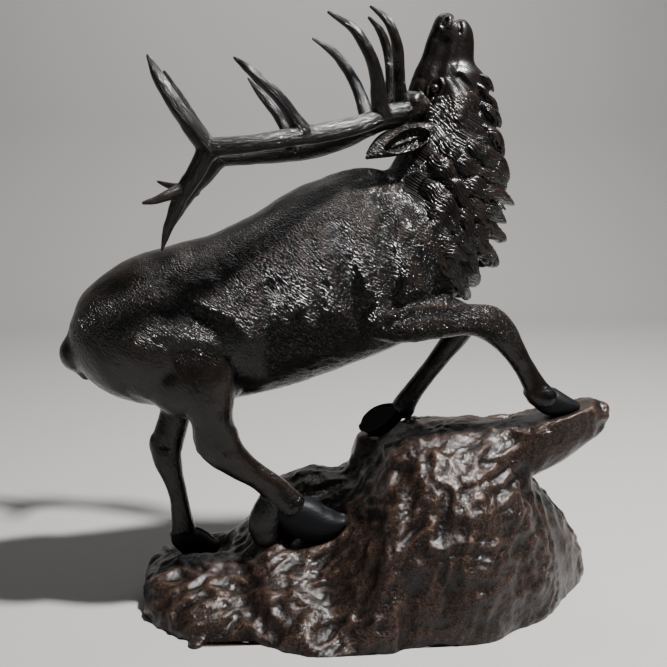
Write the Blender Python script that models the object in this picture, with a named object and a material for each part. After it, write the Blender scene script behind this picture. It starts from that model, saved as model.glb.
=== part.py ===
"""A bugling bull elk on a rock, two aluminium castings set one on the other.

The elk looks towards +X and its right side faces -Y. Z is up, and the rock stands on Z = 0
with the middle of its footprint at the origin. The elk's form is drawn in units of
UNIT = FIGURE_HEIGHT / DRAWN_HEIGHT, so a unit is a centimetre at the full height of 1.9 m.
"""

import math

import bmesh
import bpy
import numpy as np
from mathutils import Vector, noise

# Driving dimensions, in metres
FIGURE_HEIGHT = 1.90
BODY_WIDTH = 0.47
NECK_WIDTH = 0.35
LEG_TRACK = 0.28
ANTLER_SPREAD = 0.62
BEAM_DIAMETER = 0.064
EAR_LENGTH = 0.235
MANE_LOCK_LENGTH = 0.13
ROCK_LENGTH = 1.56
ROCK_DEPTH = 0.92
LUG_WIDTH = 0.046
LUG_REACH = 0.045
LUG_THICKNESS = 0.016
SEAT_GAP = 0.0003
# The prints grow by more than the gap, so that it is kept where the hooves' facets meet
AROUND_CORNERS = 1.6

# How finely the free forms are made, in metres and triangles
ELK_VOXEL = 0.0075
ROCK_VOXEL = 0.014
ELK_TRIANGLES = 7200
ROCK_TRIANGLES = 2400

# Where the tab leaves the rock, as shares of the rock's length and depth
TAB_PLACE = (-0.377, -0.365)

DRAWN_HEIGHT = 190
UNIT = FIGURE_HEIGHT / DRAWN_HEIGHT
NEAR, FAR = -1, 1

DARK_CHOCOLATE = (0.030, 0.019, 0.014, 1)
UMBER = (0.055, 0.028, 0.019, 1)


def clear_scene():
    """Remove whatever the file opened with."""
    for thing in list(bpy.data.objects):
        bpy.data.objects.remove(thing, do_unlink=True)


def painted_metal(name, colour, roughness):
    """A dark patina under clear lacquer over cast aluminium."""
    material = bpy.data.materials.new(name)
    material.use_nodes = True
    shader = material.node_tree.nodes["Principled BSDF"]
    shader.inputs["Base Color"].default_value = colour
    shader.inputs["Roughness"].default_value = roughness
    shader.inputs["Metallic"].default_value = 0.35
    material.diffuse_color = colour
    return material


def through(rows, steps):
    """Rows of a smooth curve through the given rows, `steps` to each span (Catmull-Rom)."""
    rows = np.array(rows, float)
    ends = np.vstack([2 * rows[0] - rows[1], rows, 2 * rows[-1] - rows[-2]])
    found = []
    for i in range(len(rows) - 1):
        before, start, stop, after = ends[i : i + 4]
        for t in np.arange(steps) / steps:
            found.append(
                0.5 * (2 * start + (stop - before) * t
                       + (2 * before - 5 * start + 4 * stop - after) * t**2
                       + (3 * start - before - 3 * stop + after) * t**3)
            )
    return np.array(found + [rows[-1]])


class Shape:
    """Closed tubes and lumps gathered up, to be fused into one skin."""

    def __init__(self):
        self.points, self.faces = [], []

    def tube(self, rows, sides=16, steps=4, across=(0, 1, 0), flat=1.0):
        """A round-ended tube through rows of x, y, z, half thickness and half width.

        The thickness lies in the plane across `across`, the width along it. A `flat` under 1
        squares the section.
        """
        rows = through(rows, steps) * UNIT
        middle, half = rows[:, :3], np.maximum(rows[:, 3:5], 1e-4)
        along = np.gradient(middle, axis=0)
        along /= np.linalg.norm(along, axis=1)[:, None]
        up = np.cross(np.array(across, float), along)
        up /= np.linalg.norm(up, axis=1)[:, None]
        side = np.cross(along, up)
        rings = []
        # The ends close with a rounded cap as deep as the end is thick.
        caps = [math.radians(a) for a in (78, 52, 26)]
        thin = half.min(axis=1)
        for a in caps:
            rings.append((middle[0] - along[0] * thin[0] * math.sin(a), half[0] * math.cos(a), up[0], side[0]))
        rings += list(zip(middle, half, up, side))
        for a in reversed(caps):
            rings.append((middle[-1] + along[-1] * thin[-1] * math.sin(a), half[-1] * math.cos(a), up[-1], side[-1]))
        first = len(self.points)
        for centre, (thick, wide), u, s in rings:
            for k in range(sides):
                a = 2 * math.pi * k / sides
                c, n = math.cos(a), math.sin(a)
                c, n = math.copysign(abs(c) ** flat, c), math.copysign(abs(n) ** flat, n)
                self.points.append(centre + u * thick * c + s * wide * n)
        for j in range(len(rings) - 1):
            for k in range(sides):
                a, b = first + j * sides + k, first + j * sides + (k + 1) % sides
                self.faces.append((a, a + sides, b + sides, b))
        self.faces.append(tuple(first + k for k in range(sides)))
        last = first + (len(rings) - 1) * sides
        self.faces.append(tuple(last + k for k in reversed(range(sides))))

    def lump(self, centre, radii, turn=0.0, sides=20):
        """An ellipsoid with its first radius turned up by `turn` degrees in the X-Z plane."""
        c, s = math.cos(math.radians(turn)), math.sin(math.radians(turn))
        along = np.array([c, 0, s])
        up = np.array([-s, 0, c])
        centre = np.array(centre, float) * UNIT
        radii = np.array(radii, float) * UNIT
        first = len(self.points)
        rows = sides // 2
        for j in range(1, rows):
            a = math.pi * j / rows
            for k in range(sides):
                b = 2 * math.pi * k / sides
                self.points.append(
                    centre - along * radii[0] * math.cos(a)
                    + up * radii[2] * math.sin(a) * math.cos(b)
                    + np.array([0, radii[1] * math.sin(a) * math.sin(b), 0])
                )
        for j in range(rows - 2):
            for k in range(sides):
                a, b = first + j * sides + k, first + j * sides + (k + 1) % sides
                self.faces.append((a, b, b + sides, a + sides))
        self.faces.append(tuple(first + k for k in reversed(range(sides))))
        last = first + (rows - 2) * sides
        self.faces.append(tuple(last + k for k in range(sides)))

    def add_skin(self, skin):
        """Take in a skin that was fused before."""
        first = len(self.points)
        self.points += list(skin.points)
        self.faces += [tuple(first + i for i in face) for face in skin.faces]


class Skin:
    """One closed mesh as arrays, for carving."""

    def __init__(self, mesh):
        self.points = np.empty(len(mesh.vertices) * 3)
        mesh.vertices.foreach_get("co", self.points)
        self.points = self.points.reshape(-1, 3)
        self.faces = [tuple(p.vertices) for p in mesh.polygons]
        self.normals = np.empty(len(mesh.vertices) * 3)
        mesh.vertices.foreach_get("normal", self.normals)
        self.normals = self.normals.reshape(-1, 3)

    def mesh(self, name):
        return mesh_of(name, self.points, self.faces)

    def press(self, path, width, depth, side=0, beyond=0.0):
        """Sink (or with a negative depth raise) the skin along a path seen from the side.

        `path` is rows of x, z; `side` picks the near or the far flank, or 0 for both, and only
        skin further than `beyond` from the middle plane moves.
        """
        path = through(path, 4) * UNIT
        width, depth = width * UNIT, depth * UNIT
        flat = self.points[:, [0, 2]]
        near = np.full(len(flat), 1e9)
        for a, b in zip(path[:-1], path[1:]):
            run = b - a
            t = np.clip(((flat - a) @ run) / (run @ run), 0, 1)
            near = np.minimum(near, np.linalg.norm(flat - a - t[:, None] * run, axis=1))
        fade = np.clip(1 - (near / width) ** 2, 0, 1) ** 2
        facing = np.clip(np.abs(self.normals[:, 1]) * 1.6, 0, 1)
        if side:
            facing = facing * (self.points[:, 1] * side > 0)
        facing = facing * (np.abs(self.points[:, 1]) >= beyond * UNIT)
        self.points -= self.normals * (depth * fade * facing)[:, None]


def mesh_of(name, points, faces):
    mesh = bpy.data.meshes.new(name)
    mesh.from_pydata([tuple(p) for p in points], [], faces)
    mesh.update()
    return mesh


def worked(mesh, *steps):
    """The mesh after modifiers, each given as a type and its settings."""
    helper = bpy.data.objects.new("helper", mesh)
    bpy.context.scene.collection.objects.link(helper)
    for number, (kind, settings) in enumerate(steps):
        modifier = helper.modifiers.new(f"{kind} {number}", kind)
        for key, value in settings.items():
            setattr(modifier, key, value)
    bpy.context.view_layer.update()
    graph = bpy.context.evaluated_depsgraph_get()
    made = bpy.data.meshes.new_from_object(helper.evaluated_get(graph))
    bpy.data.objects.remove(helper, do_unlink=True)
    return made


def fused(shape, voxel, smooth):
    """One skin round everything in the shape, its joins softened."""
    mesh = worked(
        mesh_of("fused", shape.points, shape.faces),
        ("REMESH", {"mode": "VOXEL", "voxel_size": voxel}),
        ("SMOOTH", {"factor": 0.5, "iterations": smooth}),
    )
    return Skin(mesh)


def faceted(skin, triangles):
    """The skin in about this many triangles, the largest closed piece of it only."""
    mesh = worked(skin.mesh("faceted"), ("TRIANGULATE", {}))
    mesh = worked(mesh, ("DECIMATE", {"ratio": triangles / len(mesh.polygons), "use_collapse_triangulate": True}))
    shell = bmesh.new()
    shell.from_mesh(mesh)
    left, pieces = set(shell.verts), []
    while left:
        group, queue = set(), [left.pop()]
        while queue:
            vert = queue.pop()
            group.add(vert)
            for edge in vert.link_edges:
                other = edge.other_vert(vert)
                if other in left:
                    left.discard(other)
                    queue.append(other)
        pieces.append(group)
    keep = max(pieces, key=len)
    bmesh.ops.delete(shell, geom=[v for v in shell.verts if v not in keep], context="VERTS")
    bmesh.ops.recalc_face_normals(shell, faces=shell.faces)
    shell.to_mesh(mesh)
    shell.free()
    return mesh


def placed(name, mesh, material):
    """The named object that carries a mesh."""
    mesh.name = name
    mesh.materials.clear()
    mesh.materials.append(material)
    thing = bpy.data.objects.new(name, mesh)
    bpy.context.scene.collection.objects.link(thing)
    return thing


# The trunk from rump to brisket, as rows of x, y, z, half thickness and half width
TRUNK = (
    (-96.4, 0, 84.6, 6.5, 7.5), (-93.4, 0, 85.6, 13.0, 13), (-86, 0, 87.8, 19.8, 18.5), (-73, 0, 91, 24.8, 21),
    (-57.7, 0, 94, 26.4, 21), (-42.3, 0, 97.4, 27.4, 22), (-27, 0, 103.2, 28.6, 23), (-11, 0, 110.6, 30, 23.5),
    (3, 0, 115, 28.6, 22), (14, 0, 118, 22, 18), (22, 0, 117.5, 13, 12),
)
# The neck from the jaw down into the chest, in the same form
NECK = (
    (23.7, 0, 168, 10.9, 9), (24.1, 0, 160, 12.3, 11), (24.0, 0, 150, 14.9, 13.5), (21, 0, 138, 17.6, 15.5),
    (16.8, 0, 125, 19.8, 17.5), (12.4, 0, 112, 18.4, 18), (10, 0, 104, 15, 16),
)
HEAD = (
    (19.5, 0, 154, 9.5, 8.5), (20, 0, 161, 11, 9.2), (20.8, 0, 168, 10.6, 7.4), (22, 0, 174.6, 8.8, 5.6),
    (23, 0, 180.6, 7.2, 4.8), (23.6, 0, 184.4, 6.2, 4.4),
)


def widened(rows, factor):
    return [(x, y, z, thick, wide * factor) for x, y, z, thick, wide in rows]


def body(shape):
    """The trunk, the neck and the head, nose up."""
    shape.tube(widened(TRUNK, BODY_WIDTH / UNIT / 47), sides=28)
    shape.tube(widened(NECK, NECK_WIDTH / UNIT / 35), sides=28)
    shape.tube(HEAD, sides=24)
    shape.tube([(17.2, 0, 178, 3.5, 4), (18.6, 0, 183, 4.2, 4.3), (21.0, 0, 186.3, 3.8, 3.6)])
    shape.tube([(27, 0, 177, 3.4, 3.6), (27.6, 0, 182, 3.4, 3.2), (27, 0, 185.2, 2.6, 2.7)])


def muscles(shape):
    """Haunches, shoulders and the tail."""
    for side in (NEAR, FAR):
        shape.lump((-71, side * 9.5, 90), (22, 13, 19), turn=-20)
        shape.lump((-58, side * 12.5, 81), (15, 10, 17), turn=-60)
        shape.lump((4, side * 10.5, 112), (17, 12.5, 23), turn=-25)
        shape.lump((10, side * 12, 101), (14, 8, 10), turn=-10)
        shape.lump((-30, side * 9, 101), (24, 13, 20), turn=15)
    shape.lump((-8, 0, 133.8), (17, 8.5, 9), turn=10)
    shape.tube([(-97.4, 0, 87, 2.0, 3.0), (-98.4, 0, 81.5, 2.0, 3.2), (-95.6, 0, 76.4, 1.7, 2.4)])


# The soles as x, the share of the half track, z, how steeply each lies along x, and how far
# round it the rock is level
SOLES = (
    (-21, -0.75, 21.6, 0.28, 9.5, 7),
    (-61, 0.75, 6.9, 0.10, 15, 19),
    (59.5, -0.86, 64.4, 0.28, 14, 9),
    (3, 1.0, 51.2, 0.20, 12, 9),
)


def hoof(shape, rows, y):
    """A cloven hoof: two toes side by side, x and z and half sizes of the pair in each row."""
    for side in (NEAR, FAR):
        shape.tube([(x, y + side * wide * 0.47, z, thick, wide * 0.56) for x, z, thick, wide in rows], sides=12)


def near_hind_leg(shape, y):
    """Stepping forward, its cannon slanting down to the rock."""
    shape.tube([
        (-56, -y - 0.6, 80, 12.5, 9), (-54.5, -y - 1, 72, 8.6, 7.4), (-53.4, -y - 0.5, 65, 6.6, 5.6),
        (-52.6, -y - 0.2, 60, 7.2, 4.9), (-50.5, -y, 55.4, 6.6, 4.4), (-45.5, -y + 1, 50.2, 4.9, 3.8),
        (-39.5, -y + 1.8, 45.3, 4.2, 3.5), (-33.5, -y + 2.6, 39.8, 4.5, 3.7), (-28, -y + 3.3, 34.2, 5.1, 4.2),
    ], flat=0.9)
    hoof(shape, [(-29, 32, 6.4, 5.2), (-23, 28.2, 6.4, 5.6), (-17, 27.3, 4.8, 5.2), (-12.6, 28.5, 2.6, 3.8)], -y + 3.5)
    shape.tube([(-34.2, -y + 3.5, 36.4, 4.8, 3.6), (-36.8, -y + 4, 29, 5.7, 4.4), (-36.8, -y + 4, 24, 4.9, 4.2)])


def far_hind_leg(shape, y):
    """Standing nearly upright behind."""
    shape.tube([
        (-66, y - 3, 80, 11, 8), (-66.8, y - 1, 68, 7.6, 6.2), (-67.8, y - 0.6, 59.2, 5.4, 4.8),
        (-70.8, y - 1, 49, 5.8, 4.2), (-71.2, y - 1.4, 44.5, 5.2, 4.0), (-69.4, y - 2, 36.8, 3.8, 3.3),
        (-67.6, y - 2.6, 29.6, 3.2, 3.1), (-66.8, y - 3, 22.9, 3.7, 3.5), (-66.2, y - 3.4, 17.5, 4.6, 4.0),
    ], flat=0.9)
    hoof(shape, [(-65.2, 16.2, 4.6, 4.6), (-61.8, 12, 5.2, 5.2), (-58, 10, 3.6, 4.6), (-55.8, 9.4, 2.2, 3.6)], y - 3.5)


def near_fore_leg(shape, y):
    """Lifted, the fore arm nearly level and the cannon reaching down to the ledge."""
    shape.tube([
        (-2, -y + 0.5, 100, 10, 8), (9, -y - 0.5, 98, 8.8, 7.2), (18, -y, 97, 6.8, 5.8), (27, -y + 0.5, 96.2, 4.9, 4.6),
        (34.8, -y + 1, 94.8, 5.6, 4.7), (39.6, -y + 1.2, 90.6, 5.0, 4.2), (43.8, -y + 1.4, 84.6, 3.8, 3.4),
        (47.8, -y + 1.6, 78.8, 3.4, 3.2), (50.6, -y + 1.8, 74, 3.8, 3.7), (52, -y + 2, 71.4, 4.5, 4.1),
    ], flat=0.9)
    hoof(shape, [(52.6, 70.2, 4.6, 4.6), (56.4, 68, 4.5, 5.2), (61.4, 67.2, 3.3, 4.8), (65.4, 67.6, 1.8, 3.6)], -y + 2)


def far_fore_leg(shape, y):
    """Bent at the knee, its foot folded back on the tip of the hoof."""
    shape.tube([
        (4, y - 2, 100, 10, 8), (14, y, 97, 8, 7), (24, y, 94.6, 6.2, 5.6), (32.6, y, 91, 5.0, 4.7),
        (31, y, 86, 4.4, 4.2), (25.4, y, 78.4, 3.5, 3.2), (19.4, y, 70.4, 3.2, 3.0), (14, y, 63, 3.6, 3.4),
        (12, y, 59.4, 4.2, 4.0),
    ], flat=0.9)
    hoof(shape, [(11.4, 58, 4.0, 4.4), (6.6, 56.4, 4.6, 5.2), (1.4, 54.2, 3.8, 4.8), (-2, 52.8, 2.0, 3.6)], y)


def legs(shape):
    """The four legs, each ending in its hoof."""
    half = LEG_TRACK / UNIT / 2
    for leg in (near_hind_leg, far_hind_leg, near_fore_leg, far_fore_leg):
        leg(shape, half)


# The ear's root, then its rows out from there to the tip: x, distance from the middle, z and half sizes
EAR_ROOT = (17.8, 7.4, 155.6)
EAR = ((0, 0, 0, 1.8, 2.0), (-2.8, 1.0, -1.0, 2.6, 2.3), (-6.8, 2.4, -2.6, 3.9, 2.4), (-11.8, 4.0, -4.2, 4.1, 2.1),
       (-16.8, 5.6, -5.9, 3.4, 1.7), (-20.4, 6.6, -7.7, 2.0, 1.2), (-22.7, 7.2, -9.2, 0.6, 0.6))
# How far ahead of the near ear's tip and above it the far one's lies
FAR_EAR_TIP = (3.6, 1.2)


def ears(shape):
    """Two leaf-shaped ears laid back, each growing from a boss under the antler's foot."""
    long = EAR_LENGTH / UNIT / 23.5
    x0, y0, z0 = EAR_ROOT
    for side in (NEAR, FAR):
        shape.lump((x0 - 5, side * y0, z0 + 2.4), (4.8, 3.6, 3.2))
        leaf = []
        for number, (x, y, z, thick, wide) in enumerate(EAR):
            ahead, above = [shift * number / (len(EAR) - 1) for shift in FAR_EAR_TIP] if side == FAR else (0, 0)
            leaf.append((x0 + x * long + ahead, side * (y0 + y * long), z0 + z * long + above, thick, wide))
        shape.tube(leaf)


# The antler as tubes of x, y, z and radius: the beam first, then its points from burr to fork
BEAM = ((13, 4.5, 162, 4.2), (7.4, 8, 160.4, 3.3), (0.7, 12, 159.0, 2.9), (-7.3, 17, 156.1, 2.8), (-18, 22, 153.7, 2.8),
        (-28.3, 26, 152.2, 2.7), (-38, 29, 150.6, 2.5), (-47.4, 30, 149.6, 2.7), (-52, 30, 149.2, 2.9))
TINES = (
    ((6.5, 8, 161, 2.8), (5.2, 10, 168, 2.1), (4.9, 11, 173, 1.85), (3.9, 13, 179, 1.7), (1.2, 13, 185.6, 1.4),
     (-3.6, 11, 190, 0.55)),
    ((-0.4, 13, 158.6, 3.0), (-1.6, 15.4, 164, 2.5), (-2.4, 17, 168.6, 2.2), (-4.8, 19, 175.4, 1.9),
     (-9.4, 19, 182.4, 1.5), (-16.6, 17, 187.4, 0.55)),
    ((-24.4, 24.6, 153.6, 2.9), (-28, 25.4, 158.6, 2.1), (-31.6, 26.4, 163.4, 1.8), (-36.2, 27, 167.6, 1.6),
     (-40.1, 27, 171, 1.3), (-43.6, 26, 173.8, 0.45)),
    ((-51, 30, 148.6, 2.9), (-55.9, 31, 155.3, 2.5), (-60.4, 31, 162, 2.2), (-64.3, 30, 168.6, 1.7),
     (-67.1, 28, 174, 0.55)),
    ((-51.5, 30, 148.8, 2.9), (-54.8, 30, 142.6, 2.6), (-58.4, 29, 137.6, 2.4), (-61.5, 28, 131.4, 1.9),
     (-64.2, 26, 124.7, 1.2), (-65.6, 25, 120.4, 0.45)),
    ((-58.4, 29, 138, 2.2), (-61.6, 31, 136.8, 1.7), (-65.6, 33, 135.2, 1.2), (-69.2, 34.4, 134.4, 0.5)),
)
# The far antler isn't a true copy: it hangs lower along its beam, and its points lie off, each by
# x at its foot, and by x and z at its tip
BEAM_SAG = 5.2
FORK_SAG = 3.4
FAR_SHIFTS = ((0, 2, 0), (0, -2.6, -3.2), (0, 3.0, -1.6), (0, -1.6, 0.6), (0, -3.6, 0.6), (-1.7, -3.9, 3.4))


def sagging(x):
    """How far below the near one the far beam lies at this x."""
    share = min(max((BEAM[0][0] - x) / (BEAM[0][0] - BEAM[-1][0]), 0), 1)
    if share < 0.6:
        return BEAM_SAG * math.sin(math.pi / 2 * share / 0.6)
    return BEAM_SAG + (FORK_SAG - BEAM_SAG) * (share - 0.6) / 0.4


def antlers(shape):
    """Two antlers of six points, swept back over the body."""
    out = ANTLER_SPREAD / UNIT / 62
    stout = BEAM_DIAMETER / UNIT / 6.4
    for rows, (start, end, above) in zip((BEAM,) + TINES, ((0, 0, 0),) + FAR_SHIFTS):
        near = [(x, -y * out, z, r * stout, r * stout) for x, y, z, r in rows]
        shape.tube(near, sides=10)
        far = []
        for number, (x, y, z, thick, wide) in enumerate(near):
            share = number / (len(rows) - 1)
            drop = sagging(x) if rows is BEAM else sagging(rows[0][0]) * (1 - share)
            ahead = start + (end - start) * share
            far.append((x + ahead, -y, z + above * share - drop, thick, wide))
        shape.tube(far, sides=10)


class Neck:
    """The neck's surface, to lay hair on: `down` runs 0 to 1 from jaw to chest, `turn` round it."""

    def __init__(self):
        rows = widened(NECK, NECK_WIDTH / UNIT / 35)
        self.rows = through(rows, 8)
        self.along = np.gradient(self.rows[:, :3], axis=0)
        self.along /= np.linalg.norm(self.along, axis=1)[:, None]

    def at(self, down, turn, lift):
        """The point `turn` degrees round from the throat and `lift` off the skin."""
        place = min(max(down, 0), 1) * (len(self.rows) - 1)
        low = min(int(place), len(self.rows) - 2)
        row = self.rows[low] + (self.rows[low + 1] - self.rows[low]) * (place - low)
        ahead = np.cross(self.along[low], (0, 1, 0))
        c, s = math.cos(math.radians(turn)), math.sin(math.radians(turn))
        return row[:3] + ahead * c * (row[3] + lift) + np.array([0, 1, 0]) * s * (row[4] + lift)


# A lock as the share of its length, its swing to the front, its lift off the skin and its thickness
LOCK = ((0, 0, -1.2, 1.7), (0.3, -0.4, 0.5, 2.7), (0.65, 0.15, 2.0, 2.6), (1.0, 1.0, 5.2, 0.7))


def mane(shape):
    """Locks of hair down the throat and the sides of the neck, each curling forward to a tip."""
    neck = Neck()
    rows = 9
    reach = MANE_LOCK_LENGTH / UNIT / 66
    for row in range(rows):
        start = 0.02 + 0.80 * row / (rows - 1)
        widest = 108 - 46 * (row / (rows - 1)) ** 1.2
        count = 8 - row // 3
        for k in range(count):
            turn = (k + 0.25 * (1 + 2 * (row % 2)) - (count - 1) / 2) / (count / 2) * widest
            if abs(turn) > widest:
                continue
            sway = -18 * math.copysign(1, turn) * min(abs(turn) / 30, 1)
            lock = []
            for share, swing, lift, thick in LOCK:
                at = neck.at(start + share * reach, turn + sway * swing, lift)
                lock.append((*at, thick * 0.75, thick * 1.25))
            across = (-math.sin(math.radians(turn)), math.cos(math.radians(turn)), 0)
            shape.tube(lock, sides=8, steps=3, across=across)


# Creases of the flanks, each as its path of x and z, its half width and its depth
FOLDS = (
    (((-64, 101), (-58.7, 99.2), (-51.3, 96), (-46.4, 90.6), (-43.6, 84), (-43, 77)), 6.0, 1.9),
    (((-70, 116.2), (-62.6, 107.7), (-57, 100)), 7.5, 0.9),
    (((-84, 108), (-80, 98), (-82, 88), (-78, 79)), 7.5, 0.8),
    (((-38, 86), (-33, 97), (-34, 108)), 9.0, 1.1),
    (((-14.2, 124), (-12.1, 116), (-10, 107.4), (-5.7, 98.8), (0.5, 93.5)), 7.0, 1.5),
    (((-1, 133), (1, 127.5), (-0.2, 122.2), (3.2, 115.5), (2.4, 107), (1.5, 101)), 5.0, 1.4),
    (((1, 127.5), (5, 130), (8, 128)), 4.0, 0.9),
    (((8, 120), (14, 114), (17, 106)), 5.5, 1.2),
    (((-34, 92), (-24, 91.5), (-14, 95)), 7.0, 0.9),
)
# Folds of the fore arm and the features of the head, cut after the limbs are on
FEATURES = (
    (((3.7, 102.5), (9.9, 104.6), (17.7, 103.6)), 2.2, 1.2, 10),
    (((1, 96.6), (8.4, 99), (17.8, 99.5), (24.8, 98.2)), 2.2, 1.1, 10),
    (((23.5, 187.5), (24.8, 184.5), (24.2, 180.1), (23.4, 175.7)), 1.5, 1.0, 1),
    (((19.4, 185.9), (20.3, 186.6)), 1.7, 1.3, 1),
    (((13.8, 165.6), (16, 169), (18.8, 170.6), (21, 169)), 1.8, -0.9, 2),
    (((15.8, 165.8), (19, 166.8)), 2.3, 1.5, 2),
    (((17.3, 165.9), (17.8, 166.1)), 1.3, -1.0, 2),
    (((10.6, 164.2), (11.6, 164.8)), 2.6, -0.9, 2),
    (((24, 160), (25, 162)), 6.5, -1.0, 5),
    (((13.4, 153.8), (8, 151.8), (2.2, 149.8)), 2.7, 1.5, 9.4),
)


def carve(skin, creases):
    """Every crease of the list, on both flanks."""
    for path, width, depth, *beyond in creases:
        skin.press(path, width, depth, beyond=beyond[0] if beyond else 0)


def elk_mesh():
    """The elk in one skin: the trunk softened and creased, then everything that grows from it."""
    trunk = Shape()
    body(trunk)
    muscles(trunk)
    soft = fused(trunk, ELK_VOXEL * 1.5, 12)
    carve(soft, FOLDS)
    whole = Shape()
    whole.add_skin(soft)
    legs(whole)
    ears(whole)
    antlers(whole)
    mane(whole)
    skin = fused(whole, ELK_VOXEL, 2)
    carve(skin, FEATURES)
    return faceted(skin, ELK_TRIANGLES)


# The outcrop's sections: x, its front and back at the ground, where its crest runs, how high, and how
# much its front falls away from a full round towards a straight slope
MOUND = (
    (-79.5, -2, 6, 1, 3, 0), (-77.5, -15.5, 16, 0, 8, 0), (-72.5, -25, 22, -2, 12, 0), (-62, -32.5, 29, -4, 13.4, 0),
    (-52, -35, 33, -2, 14.2, 0), (-45, -35.4, 35, 8, 17, 0.2), (-39, -38, 36, 14, 25, 0.4),
    (-32, -41.5, 37, 14, 33, 0.7), (-24, -44.5, 38, 14, 36.4, 0.9), (-15, -46, 39, 12, 37, 0.9),
    (-8, -46, 39.5, 11, 37.6, 0.5), (-2, -44.5, 40, 9, 43, 0.15), (5, -42.5, 40, 6, 52, 0), (13, -42, 40, 2, 57, 0),
    (24, -42.5, 39.5, 0, 58, 0), (32, -41.5, 38.5, 0, 57.6, 0), (40, -38, 36, -1, 54.5, 0),
    (48, -32.5, 32, -2, 46.5, 0), (55, -26, 27, -1, 36.5, 0), (60, -20.5, 23, 0, 31, 0), (66, -13.5, 18, 2, 25, 0),
    (72, -6, 13, 3, 16, 0), (76.5, 0.5, 9, 4.5, 4, 0),
)
LEDGE = ((10, 2, 49, 8, 20), (30, -1, 51.5, 8, 20), (46, -4, 51.5, 9.4, 15.5), (60, -7, 55.6, 8.2, 12),
         (68, -8, 58.6, 6.6, 9.5), (73.4, -8, 61.2, 4.6, 7))


def mound(shape, sides=40):
    """The outcrop's body, from section to section; its lower half is cut away later."""
    long, deep = ROCK_LENGTH / UNIT / 156, ROCK_DEPTH / UNIT / 92
    rows = through(MOUND, 3)
    first = len(shape.points)
    for x, front, back, crest, top, slack in rows:
        for k in range(sides):
            a = 2 * math.pi * k / sides
            c, s = math.cos(a), math.sin(a)
            half, fall = (back - crest, 0) if c > 0 else (crest - front, max(slack, 0))
            y = crest + math.copysign(abs(c) ** (0.9 + fall), c) * half
            z = abs(s) ** (0.85 + fall) * top if s > 0 else -8 * abs(s)
            shape.points.append(np.array([x * long, y * deep, z]) * UNIT)
    count = len(rows)
    for j in range(count - 1):
        for k in range(sides):
            a, b = first + j * sides + k, first + j * sides + (k + 1) % sides
            shape.faces.append((a, b, b + sides, a + sides))
    shape.faces.append(tuple(first + k for k in reversed(range(sides))))
    shape.faces.append(tuple(first + (count - 1) * sides + k for k in range(sides)))


# Crevices of the outcrop's front, in the form of the flanks' creases
CREVICES = (
    (((7.2, 46), (7, 37), (5.5, 26), (5.2, 12.6), (5, 3)), 4.5, 3.0),
    (((11.7, 27), (19.2, 14), (27.4, 2)), 3.6, 2.4),
    (((-54, 20), (-46, 14), (-36, 4)), 4.5, 2.2),
    (((-14, 30), (-20, 18), (-18, 5)), 4.0, 2.0),
    (((34, 46), (40, 30), (46, 16)), 4.5, 2.4),
)


def weather(skin):
    """Lumps and melted-looking folds all over the outcrop."""
    for i, point in enumerate(skin.points):
        at = Vector(point) / UNIT
        broad = noise.noise(at / 17 + Vector((3, 7, 1)))
        folds = 1 - abs(noise.noise(at / 8 + Vector((broad, 0, 5)))) * 2
        skin.points[i] += skin.normals[i] * (1.9 * broad + 0.9 * folds - 0.5) * UNIT


def seat(skin):
    """Level the rock under each hoof to the sole that stands there."""
    half = LEG_TRACK / UNIT / 2
    for x, share, z, slope, long, deep in SOLES:
        centre = np.array([x, share * half]) * UNIT
        off = skin.points[:, :2] - centre
        wanted = z * UNIT + off[:, 0] * slope
        away = np.linalg.norm(off / (np.array([long, deep]) * UNIT), axis=1)
        fade = np.clip(1.7 - away, 0, 1) * (skin.normals[:, 2] > 0.1)
        fade = fade * fade * (3 - 2 * fade) * (np.abs(skin.points[:, 2] - wanted) < 22 * UNIT)
        skin.points[:, 2] += (wanted - skin.points[:, 2]) * fade


def cut_flat(mesh):
    """Everything below the ground taken off, and the underside closed with a flat face."""
    shell = bmesh.new()
    shell.from_mesh(mesh)
    bmesh.ops.bisect_plane(
        shell, geom=list(shell.verts) + list(shell.edges) + list(shell.faces), dist=1e-6,
        plane_co=(0, 0, 0), plane_no=(0, 0, -1), clear_outer=True,
    )
    bmesh.ops.triangle_fill(shell, edges=[e for e in shell.edges if e.is_boundary], use_beauty=True)
    bmesh.ops.recalc_face_normals(shell, faces=shell.faces)
    shell.to_mesh(mesh)
    shell.free()
    return mesh


def rock_mesh():
    """The outcrop: a mound with a crest and a ledge, cut flat below."""
    shape = Shape()
    mound(shape)
    long, deep = ROCK_LENGTH / UNIT / 156, ROCK_DEPTH / UNIT / 92
    shape.tube([(x * long, y * deep, z, r, w * deep) for x, y, z, r, w in LEDGE], sides=20)
    skin = fused(shape, ROCK_VOXEL, 3)
    weather(skin)
    for path, width, depth in CREVICES:
        skin.press(path, width, depth, side=NEAR, beyond=8)
    seat(skin)
    skin = Skin(worked(skin.mesh("weathered"), ("SMOOTH", {"factor": 0.5, "iterations": 2})))
    return faceted(Skin(cut_flat(skin.mesh("mound"))), ROCK_TRIANGLES)


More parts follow.
